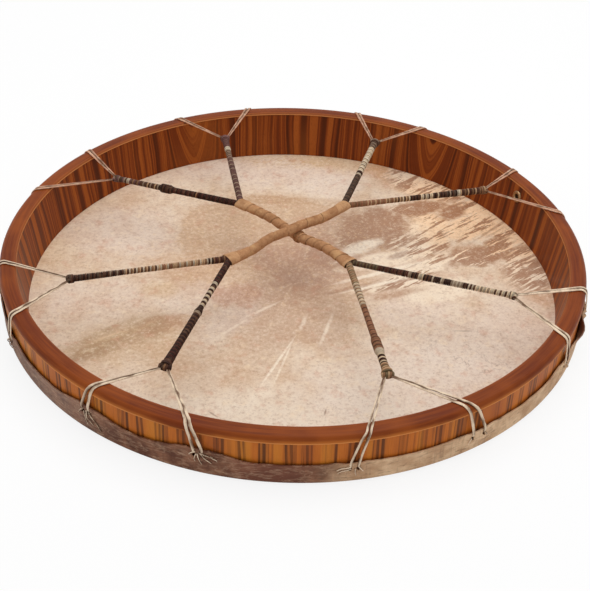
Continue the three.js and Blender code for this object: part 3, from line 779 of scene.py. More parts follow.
mottle = speckle(hide_place, 22.0, 5.0, 0.6)
warm = speckle(hide_place, 60.0, 4.0, 0.6)
hide = mixed(between(mottle, 0.38, 0.66), cream, tint(216, 184, 154))
hide_patches = [
    (-262, 95, 36, 95, -10, 0.5, 0.6, 0.4, tint(214, 178, 130)),
    (-190, 92, 70, 48, 0, 0.9, 0.5, 0.5, pale_pink),
    (-30, 236, 120, 36, 0, 0.9, 0.5, 0.55, pale_pink),
    (60, 262, 60, 22, -10, 0.9, 0.5, 0.6, tint(216, 182, 140)),
    (40, 200, 44, 22, 0, 0.9, 0.5, 0.6, tint(234, 216, 200)),
    (-198, -40, 62, 36, 10, 0.9, 0.5, 0.35, pale_pink),
    (-30, 98, 104, 80, 0, 0.24, 0.05, 0.78, tan),
    (-104, 20, 50, 36, 10, 0.8, 0.4, 0.75, tint(204, 164, 130)),
    (15, 30, 75, 62, 0, 0.6, 0.5, 0.6, tan),
    (-10, 168, 66, 9, 0, 0.6, 0.3, 0.4, tint(186, 144, 106)),
    (4, 40, 62, 42, -10, 0.8, 0.5, 0.7, tint(184, 144, 121)),
    (0, -16, 50, 26, 0, 1.0, 0.5, 0.5, pink_brown),
    (45, 90, 44, 48, 0, 0.7, 0.5, 0.6, pink_brown),
    (-98, -44, 36, 40, 20, 1.0, 0.5, 0.4, pale_pink),
    (2, -62, 66, 46, 10, 1.0, 0.5, 0.65, tint(190, 152, 124)),
    (-66, -72, 50, 16, 48, 1.0, 0.5, 0.45, pale_pink),
    (-160, -112, 84, 40, 30, 0.9, 0.5, 0.45, tint(198, 162, 124)),
    (-205, -134, 36, 9, 38, 0.9, 0.5, 0.5, tint(150, 116, 88)),
    (-132, -78, 30, 13, 30, 0.9, 0.4, 0.7, tint(186, 136, 102)),
    (-170, -94, 30, 4, 32, 1.4, 0.5, 0.35, tint(236, 206, 164)),
    (-140, -17, 18, 15, 0, 1.2, 0.5, 0.5, tint(208, 170, 126)),
    (-58, -22, 24, 19, 0, 1.1, 0.5, 0.6, tint(198, 148, 122)),
    (-78, -150, 66, 42, 20, 1.0, 0.6, 0.35, tint(198, 160, 128)),
    (-40, -218, 200, 38, 0, 0.6, 0.6, 0.65, tint(236, 220, 200)),
    (200, -100, 100, 70, 40, 0.8, 0.5, 0.6, tint(224, 202, 186)),
    (108, -150, 96, 54, 25, 0.8, 0.5, 0.65, tint(230, 212, 196)),
    (128, -38, 50, 28, 20, 0.9, 0.4, 0.7, tint(232, 210, 192)),
    (140, 224, 66, 26, -30, 0.9, 0.4, 0.85, tint(206, 154, 108)),
    (262, 40, 30, 54, 0, 0.9, 0.4, 0.75, tint(202, 150, 108)),
    (104, -6, 40, 15, 25, 1.1, 0.5, 0.5, tint(196, 154, 126)),
    (-13, -132, 1.3, 38, -22, 0.3, 0.4, 0.75, white_cream),
    (-7, -132, 1.1, 30, -14, 0.3, 0.5, 0.6, white_cream),
    (-26, -176, 8, 26, -20, 1.2, 0.6, 0.35, white_cream),
    (36, -75, 1.8, 22, -14, 0.4, 0.6, 0.6, white_cream),
    (12, -66, 2.2, 11, -14, 0.6, 0.6, 0.5, white_cream),
    (-60, -80, 1.6, 24, -42, 0.6, 0.6, 0.35, white_cream),
    (-30, -46, 1.8, 20, -50, 0.6, 0.6, 0.5, white_cream),
    (174, -72, 9, 0.9, 2, 0.2, 0.5, 0.4, tint(120, 92, 78)),
    (-70, -211, 1.0, 5, 50, 0.3, 0.5, 0.6, tint(110, 80, 64)),
    (34, -203, 0.9, 4, -10, 0.3, 0.5, 0.6, tint(120, 92, 78)),
]
for *ellipse, strength, colour in hide_patches:
    hide = mixed(patch(*ellipse, hide) * strength, hide, colour)
combed = patch(-14, 262, 60, 16, 0, 1.0, 0.6, hide) * between(hair, 0.4, 0.6)
hide = layered(hide, (combed * 0.6, 208, 172, 122))
combed = patch(-176, -104, 66, 20, 34, 0.8, 0.5, hide) * between(hair_broad, 0.3, 0.6)
hide = layered(
    hide,
    (combed * 0.8, 176, 142, 106),
    (between(warm, 0.54, 0.7) * 0.4, 202, 146, 116),
    (between(warm, 0.44, 0.28) * 0.35, 240, 212, 176),
)

# %% [markdown]
# The right half shows where the hair grew darkest: brown and nearly white tear into each other
# in streaks. Each zone says what share of it is brown. Where that share is larger than the
# value of a streaky noise, the hide is brown, and elsewhere it is pale.

# %% Streaked zones of the rawhide
zones = [
    (88, 120, 42, 42, 0, 1.1),
    (78, 92, 28, 22, 30, 0.8),
    (140, 160, 38, 13, 14, 0.86),
    (112, 90, 26, 16, 30, 0.8),
    (181, 153, 20, 13, 41, 0.95),
    (150, 122, 34, 22, 41, 0.34),
    (196, 122, 34, 22, 41, 0.3),
    (226, 140, 44, 30, 41, 0.17),
    (206, 168, 40, 16, 30, 0.26),
    (200, 64, 36, 20, 20, 0.86),
    (228, 86, 24, 14, 41, 0.62),
    (254, 44, 26, 44, 0, 0.62),
    (244, 104, 22, 20, 41, 0.34),
    (144, 84, 34, 22, 41, 0.46),
    (100, 52, 46, 13, 24, 0.06),
    (150, 44, 40, 12, 41, 0.3),
    (108, 8, 50, 12, 26, 0.4),
    (156, -4, 40, 20, 20, 0.0),
    (160, 212, 62, 26, -30, 0.46),
]
streak = between(hair_broad * 0.5 + hair_thin * 0.5, 0.35, 0.65) + ragged_fine * 0.4
torn_brown = streak * 0.0
in_zones = streak * 0.0
for *ellipse, share in zones:
    zone = patch(*ellipse, 0.95, 0.3, torn_brown)
    brown_here = zone * between(streak, share + 0.06, share - 0.06)
    torn_brown = zone.maths("MAXIMUM", torn_brown, brown_here)
    in_zones = zone.maths("MAXIMUM", in_zones, zone)
pale = mixed(warm, white_cream, tint(238, 212, 182))
warmer = patch(222, 150, 96, 92, 0, 0.5, 0.5, pale)
pale = mixed(warmer * 0.85, pale, tint(250, 206, 160))
torn = mixed(mottle, tint(150, 106, 80), tint(186, 144, 114))
torn = mixed(warmer * 0.8, torn, tint(162, 110, 74))
hide = mixed(in_zones * 0.9, hide, pale)
hide = mixed(torn_brown * 0.94, hide, torn)
hair_streaks = [
    (74, 74, 30, 8, 36, 0.85, white_cream),
    (56, 52, 14, 2.4, 40, 0.6, white_cream),
    (96, 28, 48, 3.0, 26, 0.8, white_cream),
    (120, 14, 38, 2.4, 26, 0.7, tint(168, 126, 100)),
    (88, 4, 40, 2.8, 24, 0.8, white_cream),
    (66, -2, 34, 3.4, 24, 0.6, tint(176, 134, 106)),
    (104, -14, 36, 5.0, 22, 0.6, tint(180, 138, 108)),
    (116, 62, 12, 5.0, 35, 0.6, tint(158, 122, 104)),
    (208, 176, 40, 2.0, 48, 0.7, tint(160, 112, 78)),
    (232, 128, 46, 1.8, 48, 0.6, tint(168, 118, 84)),
    (250, 118, 34, 1.6, 50, 0.6, tint(160, 112, 80)),
]
for *ellipse, strength, colour in hair_streaks:
    hide = mixed(patch(*ellipse, 1.0, 0.5, hide) * strength, hide, colour)

# %% [markdown]
# On top of the patches come the things that cover the whole hide: a grain of specks a
# millimetre or two wide, and thin dark veins. The turned up side is darker and more fibrous
# than the head, grey-brown on the left and tan on the right. On the right that tan is also made
# lighter as painted light, and where the raw edge flares out its side is darkened as painted shade.

# %% Specks, veins and side of the rawhide
def ridge(field, low, high):
    """1 along the lines where a noise is half way, and less beside them."""
    return 1.0 - between(field.maths("ABSOLUTE", field - 0.5), low, high)


specks = speckle(hide_place, 300.0, 4.0, 0.8)
blots = speckle(hide_place, 110.0, 5.0, 0.75)
gold_dots = between(speckle(hide_place, 240.0, 2.0), 0.42, 0.34)
vein = ridge(speckle(hide_place, 26.0, 4.0, 0.6), 0.002, 0.012)
hide = layered(
    hide,
    (between(specks, 0.5, 0.72) * 0.5, 160, 120, 94),
    (between(specks, 0.5, 0.3) * 0.4, 250, 234, 212),
    (between(blots, 0.52, 0.7) * 0.35, 174, 130, 102),
    (between(blots, 0.46, 0.3) * 0.35, 242, 220, 190),
)
gold_dots = gold_dots * patch(-20, 80, 150, 100, 0, 0.6, 0.5, hide)
hide = layered(hide, (gold_dots * 0.3, 230, 196, 154))
vein = vein * patch(176, -112, 46, 18, -34, 0.8, 0.5, hide)
hide = layered(hide, (vein * 0.4, 132, 98, 82))

fibres = drawn_out(hide_place, 80, 560, 5.0, 0.7)
upright = drawn_out(hide_place, 380, 30, 3.0, 0.6)
crease = ridge(drawn_out(hide_place, 45, 130, 4.0, 0.6), 0.004, 0.045)
clouds = between(speckle(hide_place, 42.0, 5.0, 0.6), 0.35, 0.65)
side_way = rawhide.angle() * (180 / math.pi)
to_left = 1.0 - between(side_way, -138.0, -118.0)
to_right = between(side_way, -86.0, -78.0) * (1.0 - between(side_way, 0.0, 20.0))
reddish = between(side_way, -101.0, -97.0) * (1.0 - between(side_way, -90.0, -84.0))
# The flared flap of the raw edge is darkened here as painted shade.
flap_shade = 1.0 - between(side_way.maths("ABSOLUTE", side_way + 19.0), 2.0, 6.0)
flap_shade = flap_shade * between(rawhide.z, 14 * MM, 24 * MM)
side_hide = mixed(clouds, tint(98, 60, 44), tint(148, 102, 76))
side_hide = layered(side_hide, (to_left * 0.45, 160, 134, 120))
# On the right the side is the hide's own tan, made lighter as painted light.
side_hide = layered(
    mixed(to_right, side_hide, mixed(clouds, tint(188, 148, 112), tint(230, 196, 158))),
    (reddish * 0.6, 124, 74, 56),
    (between(fibres, 0.5, 0.72) * 0.6, 80, 52, 40),
    (between(fibres, 0.46, 0.28) * 0.5, 212, 180, 150),
    (between(upright, 0.54, 0.7) * 0.25, 84, 50, 36),
    (crease * 0.22, 206, 170, 138),
    (flap_shade * 0.8, 96, 46, 36),
)
on_side = between(rawhide.radius(), skin_radius - 7 * MM, skin_radius - 1 * MM)
rawhide.give("Base Color", mixed(on_side, hide, side_hide))
rawhide.give("Roughness", mottle * 0.2 + 0.5)
rawhide.relief(specks * 0.6 + (fibres + crease * 0.6) * on_side, 0.4, 0.5 * MM)


# %% [markdown]
# The skin starts as a flat grid, with its columns crowded together at the slits. Every corner
# is then moved to its place on the drum: the lowest rows across the head, the next ones round
# the fold, and the others up the side. Near a slit the corners are drawn to the rim of an
# oval, and the faces inside that oval are deleted. The first row meets in one point, the
# middle of the head, where its corners are merged.

# %% Rows and columns of the skin
def skin_columns():
    """Directions of the grid's columns: one in each degree, and 25 close ones at each slit."""
    marks = [float(k) for k in range(360)]
    for direction, _, _ in slits:
        marks += [along_hoop(direction, step * 0.6 * MM) % 360 for step in range(-12, 13)]
    columns = []
    least_step = 0.04
    for mark in sorted(marks):
        if not columns or mark - columns[-1] > least_step:
            columns.append(mark)
    return columns


def lip_bulge(direction):
    """How far the laces behind the skin push it out."""
    past = min(
        abs(beside(direction, lace.slit)) - lace.spacing / 2 - 2.6 * MM for lace in all_laces
    )
    return skin_lip * (1 - smooth_step(0, 6 * MM, past))


def ripple(direction, height):
    """How far wrinkles lift the skin near the slits, which fan out below each one."""
    lift = 0.0
    for slit_direction, slit_level, lace in slits:
        if apart(direction, slit_direction) > 6:
            continue
        sideways = beside(direction, slit_direction)
        down = slit_level - height
        away = math.hypot(sideways, down)
        below = smooth_step(-1 * MM, 4 * MM, down)
        fan = math.cos(8 * math.atan2(sideways, down + 5 * MM))
        faded = math.exp(-away / (9 * MM)) * smooth_step(0, 3 * MM, away)
        lift += fan * (0.35 + 110 * lace.lift) * MM * faded * below
        pocket = math.exp(-((sideways / (3.4 * MM)) ** 2) - ((down - 3.6 * MM) / (2.0 * MM)) ** 2)
        lift += 1.5 * MM * pocket
    return lift


def side_place(direction, level):
    """How far out and how high the skin's side is, at a level: 0 at the fold, 1 on top."""
    torn = 0.6 * noise.noise(polar(55, direction)) + 0.35 * noise.noise(polar(210, direction))
    edge = raw_edge(direction) + torn * MM
    height = skin_round + (edge - skin_round) * level
    lip = lip_bulge(direction)
    out = lip * smooth_step(skin_round, 18 * MM, height) + ripple(direction, height)
    flare = 0.9 + 0.9 * noise.noise(polar(14, direction, 3))
    out += max(0.0, flare) * MM * smooth_step(0.72, 1.0, level) * (1 - lip / skin_lip)
    out += 5 * MM * math.exp(-((apart(direction, 341) / 2.6) ** 2)) * smooth_step(0.3, 1.0, level)
    out += 0.25 * MM * noise.noise(polar(26, direction, height * 90))
    return out, height


def slits_near(direction, height):
    """The slits within a degree, each with how far the place lies from its middle."""
    for slit_direction, slit_level, _ in slits:
        if apart(direction, slit_direction) <= 1:
            across = beside(direction, slit_direction)
            rise = height - slit_level
            reach = math.hypot(across / slit_half_width, rise / slit_half_height)
            yield slit_direction, slit_level, across, rise, reach


def drawn_to_slit(direction, height):
    """Pulls a corner that lies near the rim of a slit onto that rim."""
    for slit_direction, slit_level, across, rise, reach in slits_near(direction, height):
        if 0.72 < reach < 1.28:
            return along_hoop(slit_direction, across / reach), slit_level + rise / reach
    return direction, height


# %% Skin
head_rows = 10
fold_rows = 6
side_rows = 18
columns = skin_columns()
rows = head_rows + fold_rows + side_rows
head_radius = skin_radius - skin_round
hide_shape = bmesh.new()
bmesh.ops.create_grid(hide_shape, x_segments=len(columns), y_segments=rows, size=0.5)
for corner in hide_shape.verts:
    column = round((corner.co.x + 0.5) * len(columns)) % len(columns)
    row = round((corner.co.y + 0.5) * rows)
    direction = columns[column]
    if row <= head_rows:
        share = row / head_rows
        place = polar(head_radius * share, direction)
        wave = noise.noise(Vector((place.x * 14, place.y * 14, 0)))
        corner.co = place + UP * (wave + 1) * 0.3 * MM * (1 - share)
    elif row <= head_rows + fold_rows:
        turn = math.radians(90 * (row - head_rows) / fold_rows)
        radius = head_radius + skin_round * math.sin(turn)
        corner.co = polar(radius, direction, skin_round * (1 - math.cos(turn)))
    else:
        level = (row - head_rows - fold_rows) / side_rows
        out, height = side_place(direction, level)
        direction, height = drawn_to_slit(direction, height)
        corner.co = polar(skin_radius + out, direction, height)
bmesh.ops.remove_doubles(hide_shape, verts=hide_shape.verts, dist=HAIR / 50)

in_slit = []
for face in hide_shape.faces:
    centre = face.calc_center_median()
    near = slits_near(direction_of(centre), centre.z) if centre.z > skin_round else ()
    if any(reach < 1 for *_, reach in near):
        in_slit.append(face)
bmesh.ops.delete(hide_shape, geom=in_slit, context="FACES")
bmesh.ops.recalc_face_normals(hide_shape, faces=hide_shape.faces)
print("skin before its wall:", len(hide_shape.faces), "faces,", len(in_slit), "cut away")
bmesh.ops.solidify(hide_shape, geom=hide_shape.faces[:], thickness=skin_thickness)
skin = make_piece(hide_shape, "skin", rawhide, "drum_skin", 55)


# %% [markdown]
# Every strip, cord and wrapping of the drum is made in one way. A grid is rolled into a tube:
# one of its directions runs round the strip's section, the other along its length, and each
# corner is moved to its place. The two long edges meet and are merged, and the ends are
# closed. A line knows its length and, at any distance, which way is along, sideways and above.

# %% Lines and swept strips
class Line:
    def __init__(self, points):
        self.points = points
        self.marks = [0.0]
        for first, second in zip(points, points[1:]):
            self.marks.append(self.marks[-1] + (second - first).length)
        self.length = self.marks[-1]

    def spot(self, distance):
        last = len(self.points) - 2
        k = min(max(bisect_right(self.marks, distance) - 1, 0), last)
        share = (distance - self.marks[k]) / (self.marks[k + 1] - self.marks[k])
        return self.points[k] + (self.points[k + 1] - self.points[k]) * share

    def station(self, distance):
        reach = 0.6 * MM
        heading = (self.spot(distance + reach) - self.spot(distance - reach)).normalized()
        side = heading.cross(UP).normalized()
        return self.spot(distance), side, side.cross(heading)


def sweep(shape, around, lengthwise, place_at, tone_at):
    """Adds a closed tube, whose corners get their place and their tone from two functions."""
    layers = shape.verts.layers.float_color
    tones = layers.get("tone") or layers.new("tone")
    made = bmesh.ops.create_grid(shape, x_segments=around, y_segments=lengthwise, size=0.5)["verts"]
    for corner in made:
        turn = (corner.co.x + 0.5) % 1.0
        share = corner.co.y + 0.5
        corner.co = place_at(turn, share)
        corner[tones] = tone_at(turn, share)
    bmesh.ops.remove_doubles(shape, verts=made, dist=HAIR / 50)
    open_edges = [e for e in shape.edges if len(e.link_faces) == 1]
    bmesh.ops.holes_fill(shape, edges=open_edges, sides=0)
    bmesh.ops.recalc_face_normals(shape, faces=shape.faces)


def rounded(turn, width, thickness):
    """A point on a strip's section, a rectangle with soft corners, measured from its middle."""
    angle = math.tau * turn
    across = math.copysign(abs(math.cos(angle)) ** 0.5, math.cos(angle))
    height = math.copysign(abs(math.sin(angle)) ** 0.5, math.sin(angle))
    return across * width / 2, height * thickness / 2


# %% [markdown]
# The tones of hide that the wrappings show have short names. A turn takes one of them, made a
# little lighter or darker by chance, and the colour is stored on the mesh. The finish reads it
# there and only adds fibres and wear, so that one finish serves every strip.

# %% Tones
tones_of_hide = {
    "dark": tint(48, 28, 21),
    "umber": tint(84, 54, 40),
    "brown": tint(134, 96, 68),
    "rust": tint(148, 98, 72),
    "oxblood": tint(76, 38, 30),
    "tan": tint(184, 148, 112),
    "cream": tint(214, 188, 154),
    "white": tint(224, 206, 178),
    "silver": tint(186, 168, 144),
    "grey": tint(150, 128, 106),
    "slate": tint(80, 64, 52),
    "olive": tint(104, 88, 62),
    "plum": tint(108, 74, 72),
}
chance = random.Random(7)


def varied(colour, spread):
    factor = 1 + chance.uniform(-spread, spread)
    return (*(channel * factor for channel in colour[:3]), 1.0)


def strip_finish(name, roughness, fibre_scale, light, dark, worn=0.3):
    """A finish that takes its main colour from the mesh and adds fibres and specks."""
    finish = Finish(name, roughness=roughness, shine=0.1)
    tone = finish.start.add("Attribute", {"attribute_name": "tone"}, {}, "Color")
    fibre = speckle(finish.place, fibre_scale, 4.0, 0.65)
    wear = speckle(finish.place, fibre_scale * 0.22, 3.0)
    colour = mixed(between(fibre, 0.5, 0.75) * 0.5, tone, dark)
    colour = mixed(between(fibre, 0.45, 0.25) * worn * 1.4, colour, light)
    colour = mixed(between(wear, 0.52, 0.7) * worn, colour, light)
    colour = mixed(between(wear, 0.48, 0.3) * worn, colour, dark)
    finish.give("Base Color", colour)
    finish.give("Roughness", fibre * 0.25 + (roughness - 0.12))
    finish.relief(fibre, 0.5, 0.4 * MM)
    return finish


dark_strips = strip_finish("dark_strips", 0.6, 900.0, tint(178, 142, 112), tint(40, 24, 18), 0.14)
lace_hide = strip_finish("lace_hide", 0.55, 800.0, tint(236, 218, 190), tint(122, 92, 70))
suede = strip_finish("suede", 0.9, 420.0, tint(212, 170, 120), tint(132, 88, 54), 0.42)


# %% [markdown]
# A wrapping is a strip wound round a line like thread on a reel. Each turn sits a pitch further
# on than the one before. The seam between two turns of different tone is put on the side that
# faces the skin, where it is not seen.

# %% Wrappings
def wrap(
    shape, line, start, end, pitch, radius_at, thickness, tone_of, fill=0.94, steps=36, ride=0.0
):
    """Winds a strip from start to end, with a whole ring at both ends."""
    stretch = end - start - pitch
    turns = stretch / pitch
    offset = chance.uniform(0, 100)
    picked = {}

    def place_at(turn, share):
        across, height = rounded(turn, pitch * fill, thickness)
        count = (turns + 2) * share
        wound = min(max(count - 1, 0), turns)
        drift = 0.1 * pitch * noise.noise(Vector((count * 0.9, offset, 0)))
        distance = start + pitch / 2 + pitch * wound + across + drift
        spot, side, above = line.station(distance)
        angle = math.tau * count - math.pi / 2
        unevenness = 0.22 * thickness * noise.noise(Vector((count * 0.8, offset, 5)))
        wide, high = radius_at(distance)
        rise = height + unevenness + ride * across / pitch
        return spot + side * math.cos(angle) * (wide + rise) + above * math.sin(angle) * (high + rise)

    def tone_at(turn, share):
        count = math.floor((turns + 2) * min(share, 0.9999))
        if count not in picked:
            picked[count] = tone_of(start + pitch * (count - 0.5), count)
        return picked[count]

    sweep(shape, 10, max(8, round((turns + 2) * steps)), place_at, tone_at)
    return turns


# %% [markdown]
# The grip is two bundles that cross. Each bundle bows a little from arm to arm, and one arches
# over the other at the crossing. A broad strip of suede is wound round each arm so closely
# that only faint slanting lines show where one turn laps on the next. The arms spread at their
# ends, where two spokes come out side by side.

# %% Lines of the grip
crossing_rise = 5.3 * MM
crossing_reach = 46 * MM
bundle_radius = 3.2 * MM * 0.9
grip_flare = 26 * MM
hump_away = 35 * MM
hump_width = 17 * MM


def arm_end(arm):
    return crossing + polar(arm.length, arm.direction)


def bundle_line(first, second, rise, sway=0.0):
    """A line through the crossing, lifted there; past it, it sways a little to one side."""
    start, end = arm_end(first), arm_end(second)
    sideways = UP.cross(end - start).normalized()
    control = 2 * crossing - (start + end) / 2
    points = []
    for step in range(81):
        share = step / 80
        point = start * (1 - share) ** 2 + control * 2 * share * (1 - share) + end * share**2
        away = (point - crossing).length
        lift = rise * fade(away / crossing_reach)
        if share > 0.5:
            hump = math.exp(-((away - hump_away) / hump_width) ** 2)
            point = point - (sideways - UP * 0.3) * sway * hump
        points.append(point + UP * lift)
    return Line(points)


over_line = bundle_line(arms[0], arms[2], crossing_rise, 4.6 * MM)
under_line = bundle_line(arms[1], arms[3], -crossing_rise)
print("bundles:", round(over_line.length / MM), "and", round(under_line.length / MM), "mm")

# %% Grip bundles
cord_core = strip_finish("cord_core", 0.7, 700.0, tint(226, 204, 172), tint(96, 66, 46))


def rod(name, node, line, radius_at, lobes=2):
    """A twisted cord of a few strands along a line."""
    shape = bmesh.new()
    twist = 9 * MM

    def place_at(turn, share):
        distance = line.length * share
        spot, side, above = line.station(distance)
        angle = math.tau * turn
        lobe = lobes * (angle - math.tau * distance / twist / lobes) / 2
        radius = radius_at(distance) * (1 - 0.16 * (1 - abs(math.cos(lobe))))
        return spot + (side * math.cos(angle) + above * math.sin(angle)) * radius

    steps = max(8, round(line.length / (1.2 * MM)))
    sweep(shape, 16, steps, place_at, lambda turn, share: tones_of_hide["umber"])
    return make_piece(shape, name, cord_core, node)


for side, line in (("over", over_line), ("under", under_line)):
    rod(f"bundle_{side}", f"grip_core_{side}", line, lambda distance: bundle_radius, 3)

# %% Grip wrappings
suede_tone = tint(178, 130, 92)
suede_tip = tint(192, 146, 106)
grip_pitch = 11.6 * MM
suede_strip = 1.0 * MM


def grip_wrap(name, line, from_start, node, lap, body, flare=2.8 * MM, rolled_edge=False):
    half = line.length / 2

    def to_end(distance):
        return distance if from_start else line.length - distance

    def radius_at(distance):
        spread = max(0.0, 1 - to_end(distance) / grip_flare) ** 1.3
        return body + flare * spread, 4.5 * MM - 0.4 * MM * spread

    def tone_of(distance, count):
        return varied(suede_tip if to_end(distance) < 9 * MM else suede_tone, 0.06)

    def edge_radius(distance):
        return 6.0 * MM, 5.8 * MM

    def edge_tone(distance, count):
        return varied(tint(150, 104, 68), 0.1)

    past_end, past_half = 1.5 * MM, 7 * MM
    start, end = -past_end, half + past_half
    if not from_start:
        start, end = half - past_half, line.length + past_end
    shape = bmesh.new()
    wrap(
        shape, line, start, end, grip_pitch, radius_at, suede_strip, tone_of, fill=1.06, ride=lap
    )
    if rolled_edge:
        start, end, pitch = half + 2.2 * MM, half + 6.8 * MM, 2.2 * MM
        wrap(shape, line, start, end, pitch, edge_radius, 1.6 * MM, edge_tone)
    return make_piece(shape, name, suede, node)


grip_wrap("grip_rear_right", over_line, True, "grip_winding_1", 0.45 * MM, 5.0 * MM, 1.6 * MM)
grip_wrap("grip_rear_left", under_line, True, "grip_winding_2", 0.75 * MM, 4.8 * MM)
grip_wrap("grip_front_left", over_line, False, "grip_winding_3", -0.45 * MM, 4.3 * MM, 4.2 * MM)
grip_wrap("grip_front_right", under_line, False, "grip_winding_4", 0.75 * MM, 5.3 * MM, rolled_edge=True)

# %% [markdown]
# A spoke is a short cord, wrapped from fork to knot in strips of hide with the hair still on
# them, so that cream, brown and near black turns follow one another. Its stretches from the
# plan above give every turn its tone and the whole its thickness.

# %% Spokes
knot_inset = 66
spoke_pitch = 1.75 * MM
wrap_thickness = 0.9 * MM


def knot_point(spoke):
    return polar(rim_radius - (knot_inset + spoke.slack) * MM, spoke.direction, lace_height)


def spoke_line(spoke):
    arm = arms[spoke.arm]
    outwards = polar(1, arm.direction)
    left = UP.cross(outwards)
    heading = (knot_point(spoke) - arm_end(arm)).normalized()
    side = math.copysign(1, heading.dot(left))
    clear = 0.3 * MM + 1.7 * MM * abs(heading.dot(left))
    start = arm_end(arm) + outwards * clear + left * side * 2.4 * MM
    return Line([start, knot_point(spoke)])


def stretch_at(spoke, distance):
    """The tones of a place along a spoke, and how thick the spoke is there."""
    before, width = 0.0, spoke.wraps[0][1]
    for reach, width_there, words in spoke.wraps:
        if distance <= reach * MM:
            share = max(0.0, distance / MM - before) / (reach - before)
            return words.split(), (width + (width_there - width) * smooth_step(0, 1, share)) * MM
        before, width = reach, width_there
    return words.split(), width * MM


def spoke_wrap(spoke, number):
    line = spoke_line(spoke)

    def radius_at(distance):
        radius = stretch_at(spoke, distance)[1] / 2 - wrap_thickness / 2
        return radius, radius

    def tone_of(distance, count):
        words = stretch_at(spoke, distance)[0]
        return varied(tones_of_hide[words[count % len(words)]], 0.16)

    def core_radius_at(distance):
        return stretch_at(spoke, distance)[1] / 2 - wrap_thickness - 0.1 * MM

    shape = bmesh.new()
    turns = wrap(
        shape, line, -5 * MM, line.length - 3.2 * MM, spoke_pitch, radius_at, wrap_thickness,
        tone_of, fill=0.88, steps=16,
    )
    node = f"spoke_winding_{number}"
    make_piece(shape, f"spoke_wrap_{number}", dark_strips, node)
    rod(f"spoke_cord_{number}", f"spoke_core_{number}", line, core_radius_at)
    return f"{line.length / MM:.0f} mm, {round(turns)} turns"


for number, spoke in enumerate(spokes, 1):
    print(f"spoke {number}:", spoke_wrap(spoke, number))


# %% [markdown]
# At a spoke's end two laces are hitched on. Each lace is one long strip: it leaves the knot,
# bends over the cap's round edge, goes in through a slit of the skin, passes behind it and
# comes back the same way beside itself. Its places are given one by one, each with the way
# that the strip's flat side faces. Then the path is cut into short steps and eased, as a
# strip under tension bends in curves and not in corners.

# %% Paths of the laces
lace_thickness = 1.0 * MM
slit_strand = 1.4 * MM
clearance = 0.3 * MM
bend_radius = cap_outer_round + 0.5 * MM + lace_thickness / 2
run_radius = rim_radius + skin_lip + 0.06 * MM + clearance + lace_thickness / 2
inside = skin_radius - skin_thickness + skin_lip
behind = side_radius + clearance + slit_strand / 2
slant_on_cap = 0.42

Stop = namedtuple("Stop", "point facing width thickness")


def strand_stops(start, outer_side, rim, slit, hole, inwards, width, slim):
    """A strand's stops, from its knot over the cap and down the skin to behind its slit."""
    edge = polar(rim_radius - cap_outer_round, rim, lace_height)
    outwards = polar(1, slit)
    flat = (width, lace_thickness)
    tight = (slit_strand, slit_strand)
    stops = [
        Stop(start, outer_side * 0.4 + UP, width * slim, lace_thickness),
        Stop(start.lerp(edge, 0.4), outer_side * 0.2 + UP, width * (slim + 0.2), lace_thickness),
        Stop(edge, UP, *flat),
    ]
    for step, tilt in enumerate(range(80, -1, -10)):
        direction = rim + (slit - rim) * slant_on_cap * step / 8
        angle = math.radians(tilt)
        radius = rim_radius - cap_outer_round + bend_radius * math.cos(angle)
        height = rim_top - cap_outer_round + bend_radius * math.sin(angle)
        facing = polar(math.cos(angle), direction, math.sin(angle))
        stops.append(Stop(polar(radius, direction, height), facing, *flat))

    def at_slit(radius, height, facing, size, aside=0.0):
        """Adds a stop in line with the slit or, behind it, so many strands to the side."""
        place = polar(radius, along_hoop(slit, aside * slit_strand * inwards), height)
        stops.append(Stop(place, facing, *size))

    at_slit(run_radius, raw_edge(slit) + lace_thickness, outwards, flat)
    at_slit(run_radius, hole + 2.6 * MM, outwards, (width * 0.8, lace_thickness))
    at_slit(inside + skin_thickness + clearance, hole + 0.8 * MM, outwards - UP, tight)
    at_slit(inside + clearance, hole, -UP, tight)
    at_slit((inside + behind) / 2, hole, -UP, tight, 0.4)
    at_slit(behind, hole, -UP, tight, 1.6)
    return stops


def eased(stops, step=1.5 * MM, passes=5):
    """Evenly spaced stops along a path, with its corners rounded off."""
    line = Line([stop.point for stop in stops])
    count = max(4, round(line.length / step))
    fine = []
    for k in range(count + 1):
        distance = line.length * k / count
        place = min(bisect_right(line.marks, distance) - 1, len(stops) - 2)
        share = (distance - line.marks[place]) / (line.marks[place + 1] - line.marks[place])
        here, there = stops[place], stops[place + 1]
        fine.append([
            line.spot(distance),
            here.facing.lerp(there.facing, share).normalized(),
            here.width + (there.width - here.width) * share,
            here.thickness + (there.thickness - here.thickness) * share,
        ])
    for _ in range(passes):
        for item in range(4):
            values = [entry[item] for entry in fine]
            for k in range(1, count):
                fine[k][item] = (values[k - 1] + values[k] * 2 + values[k + 1]) / 4
    return [Stop(*entry) for entry in fine]


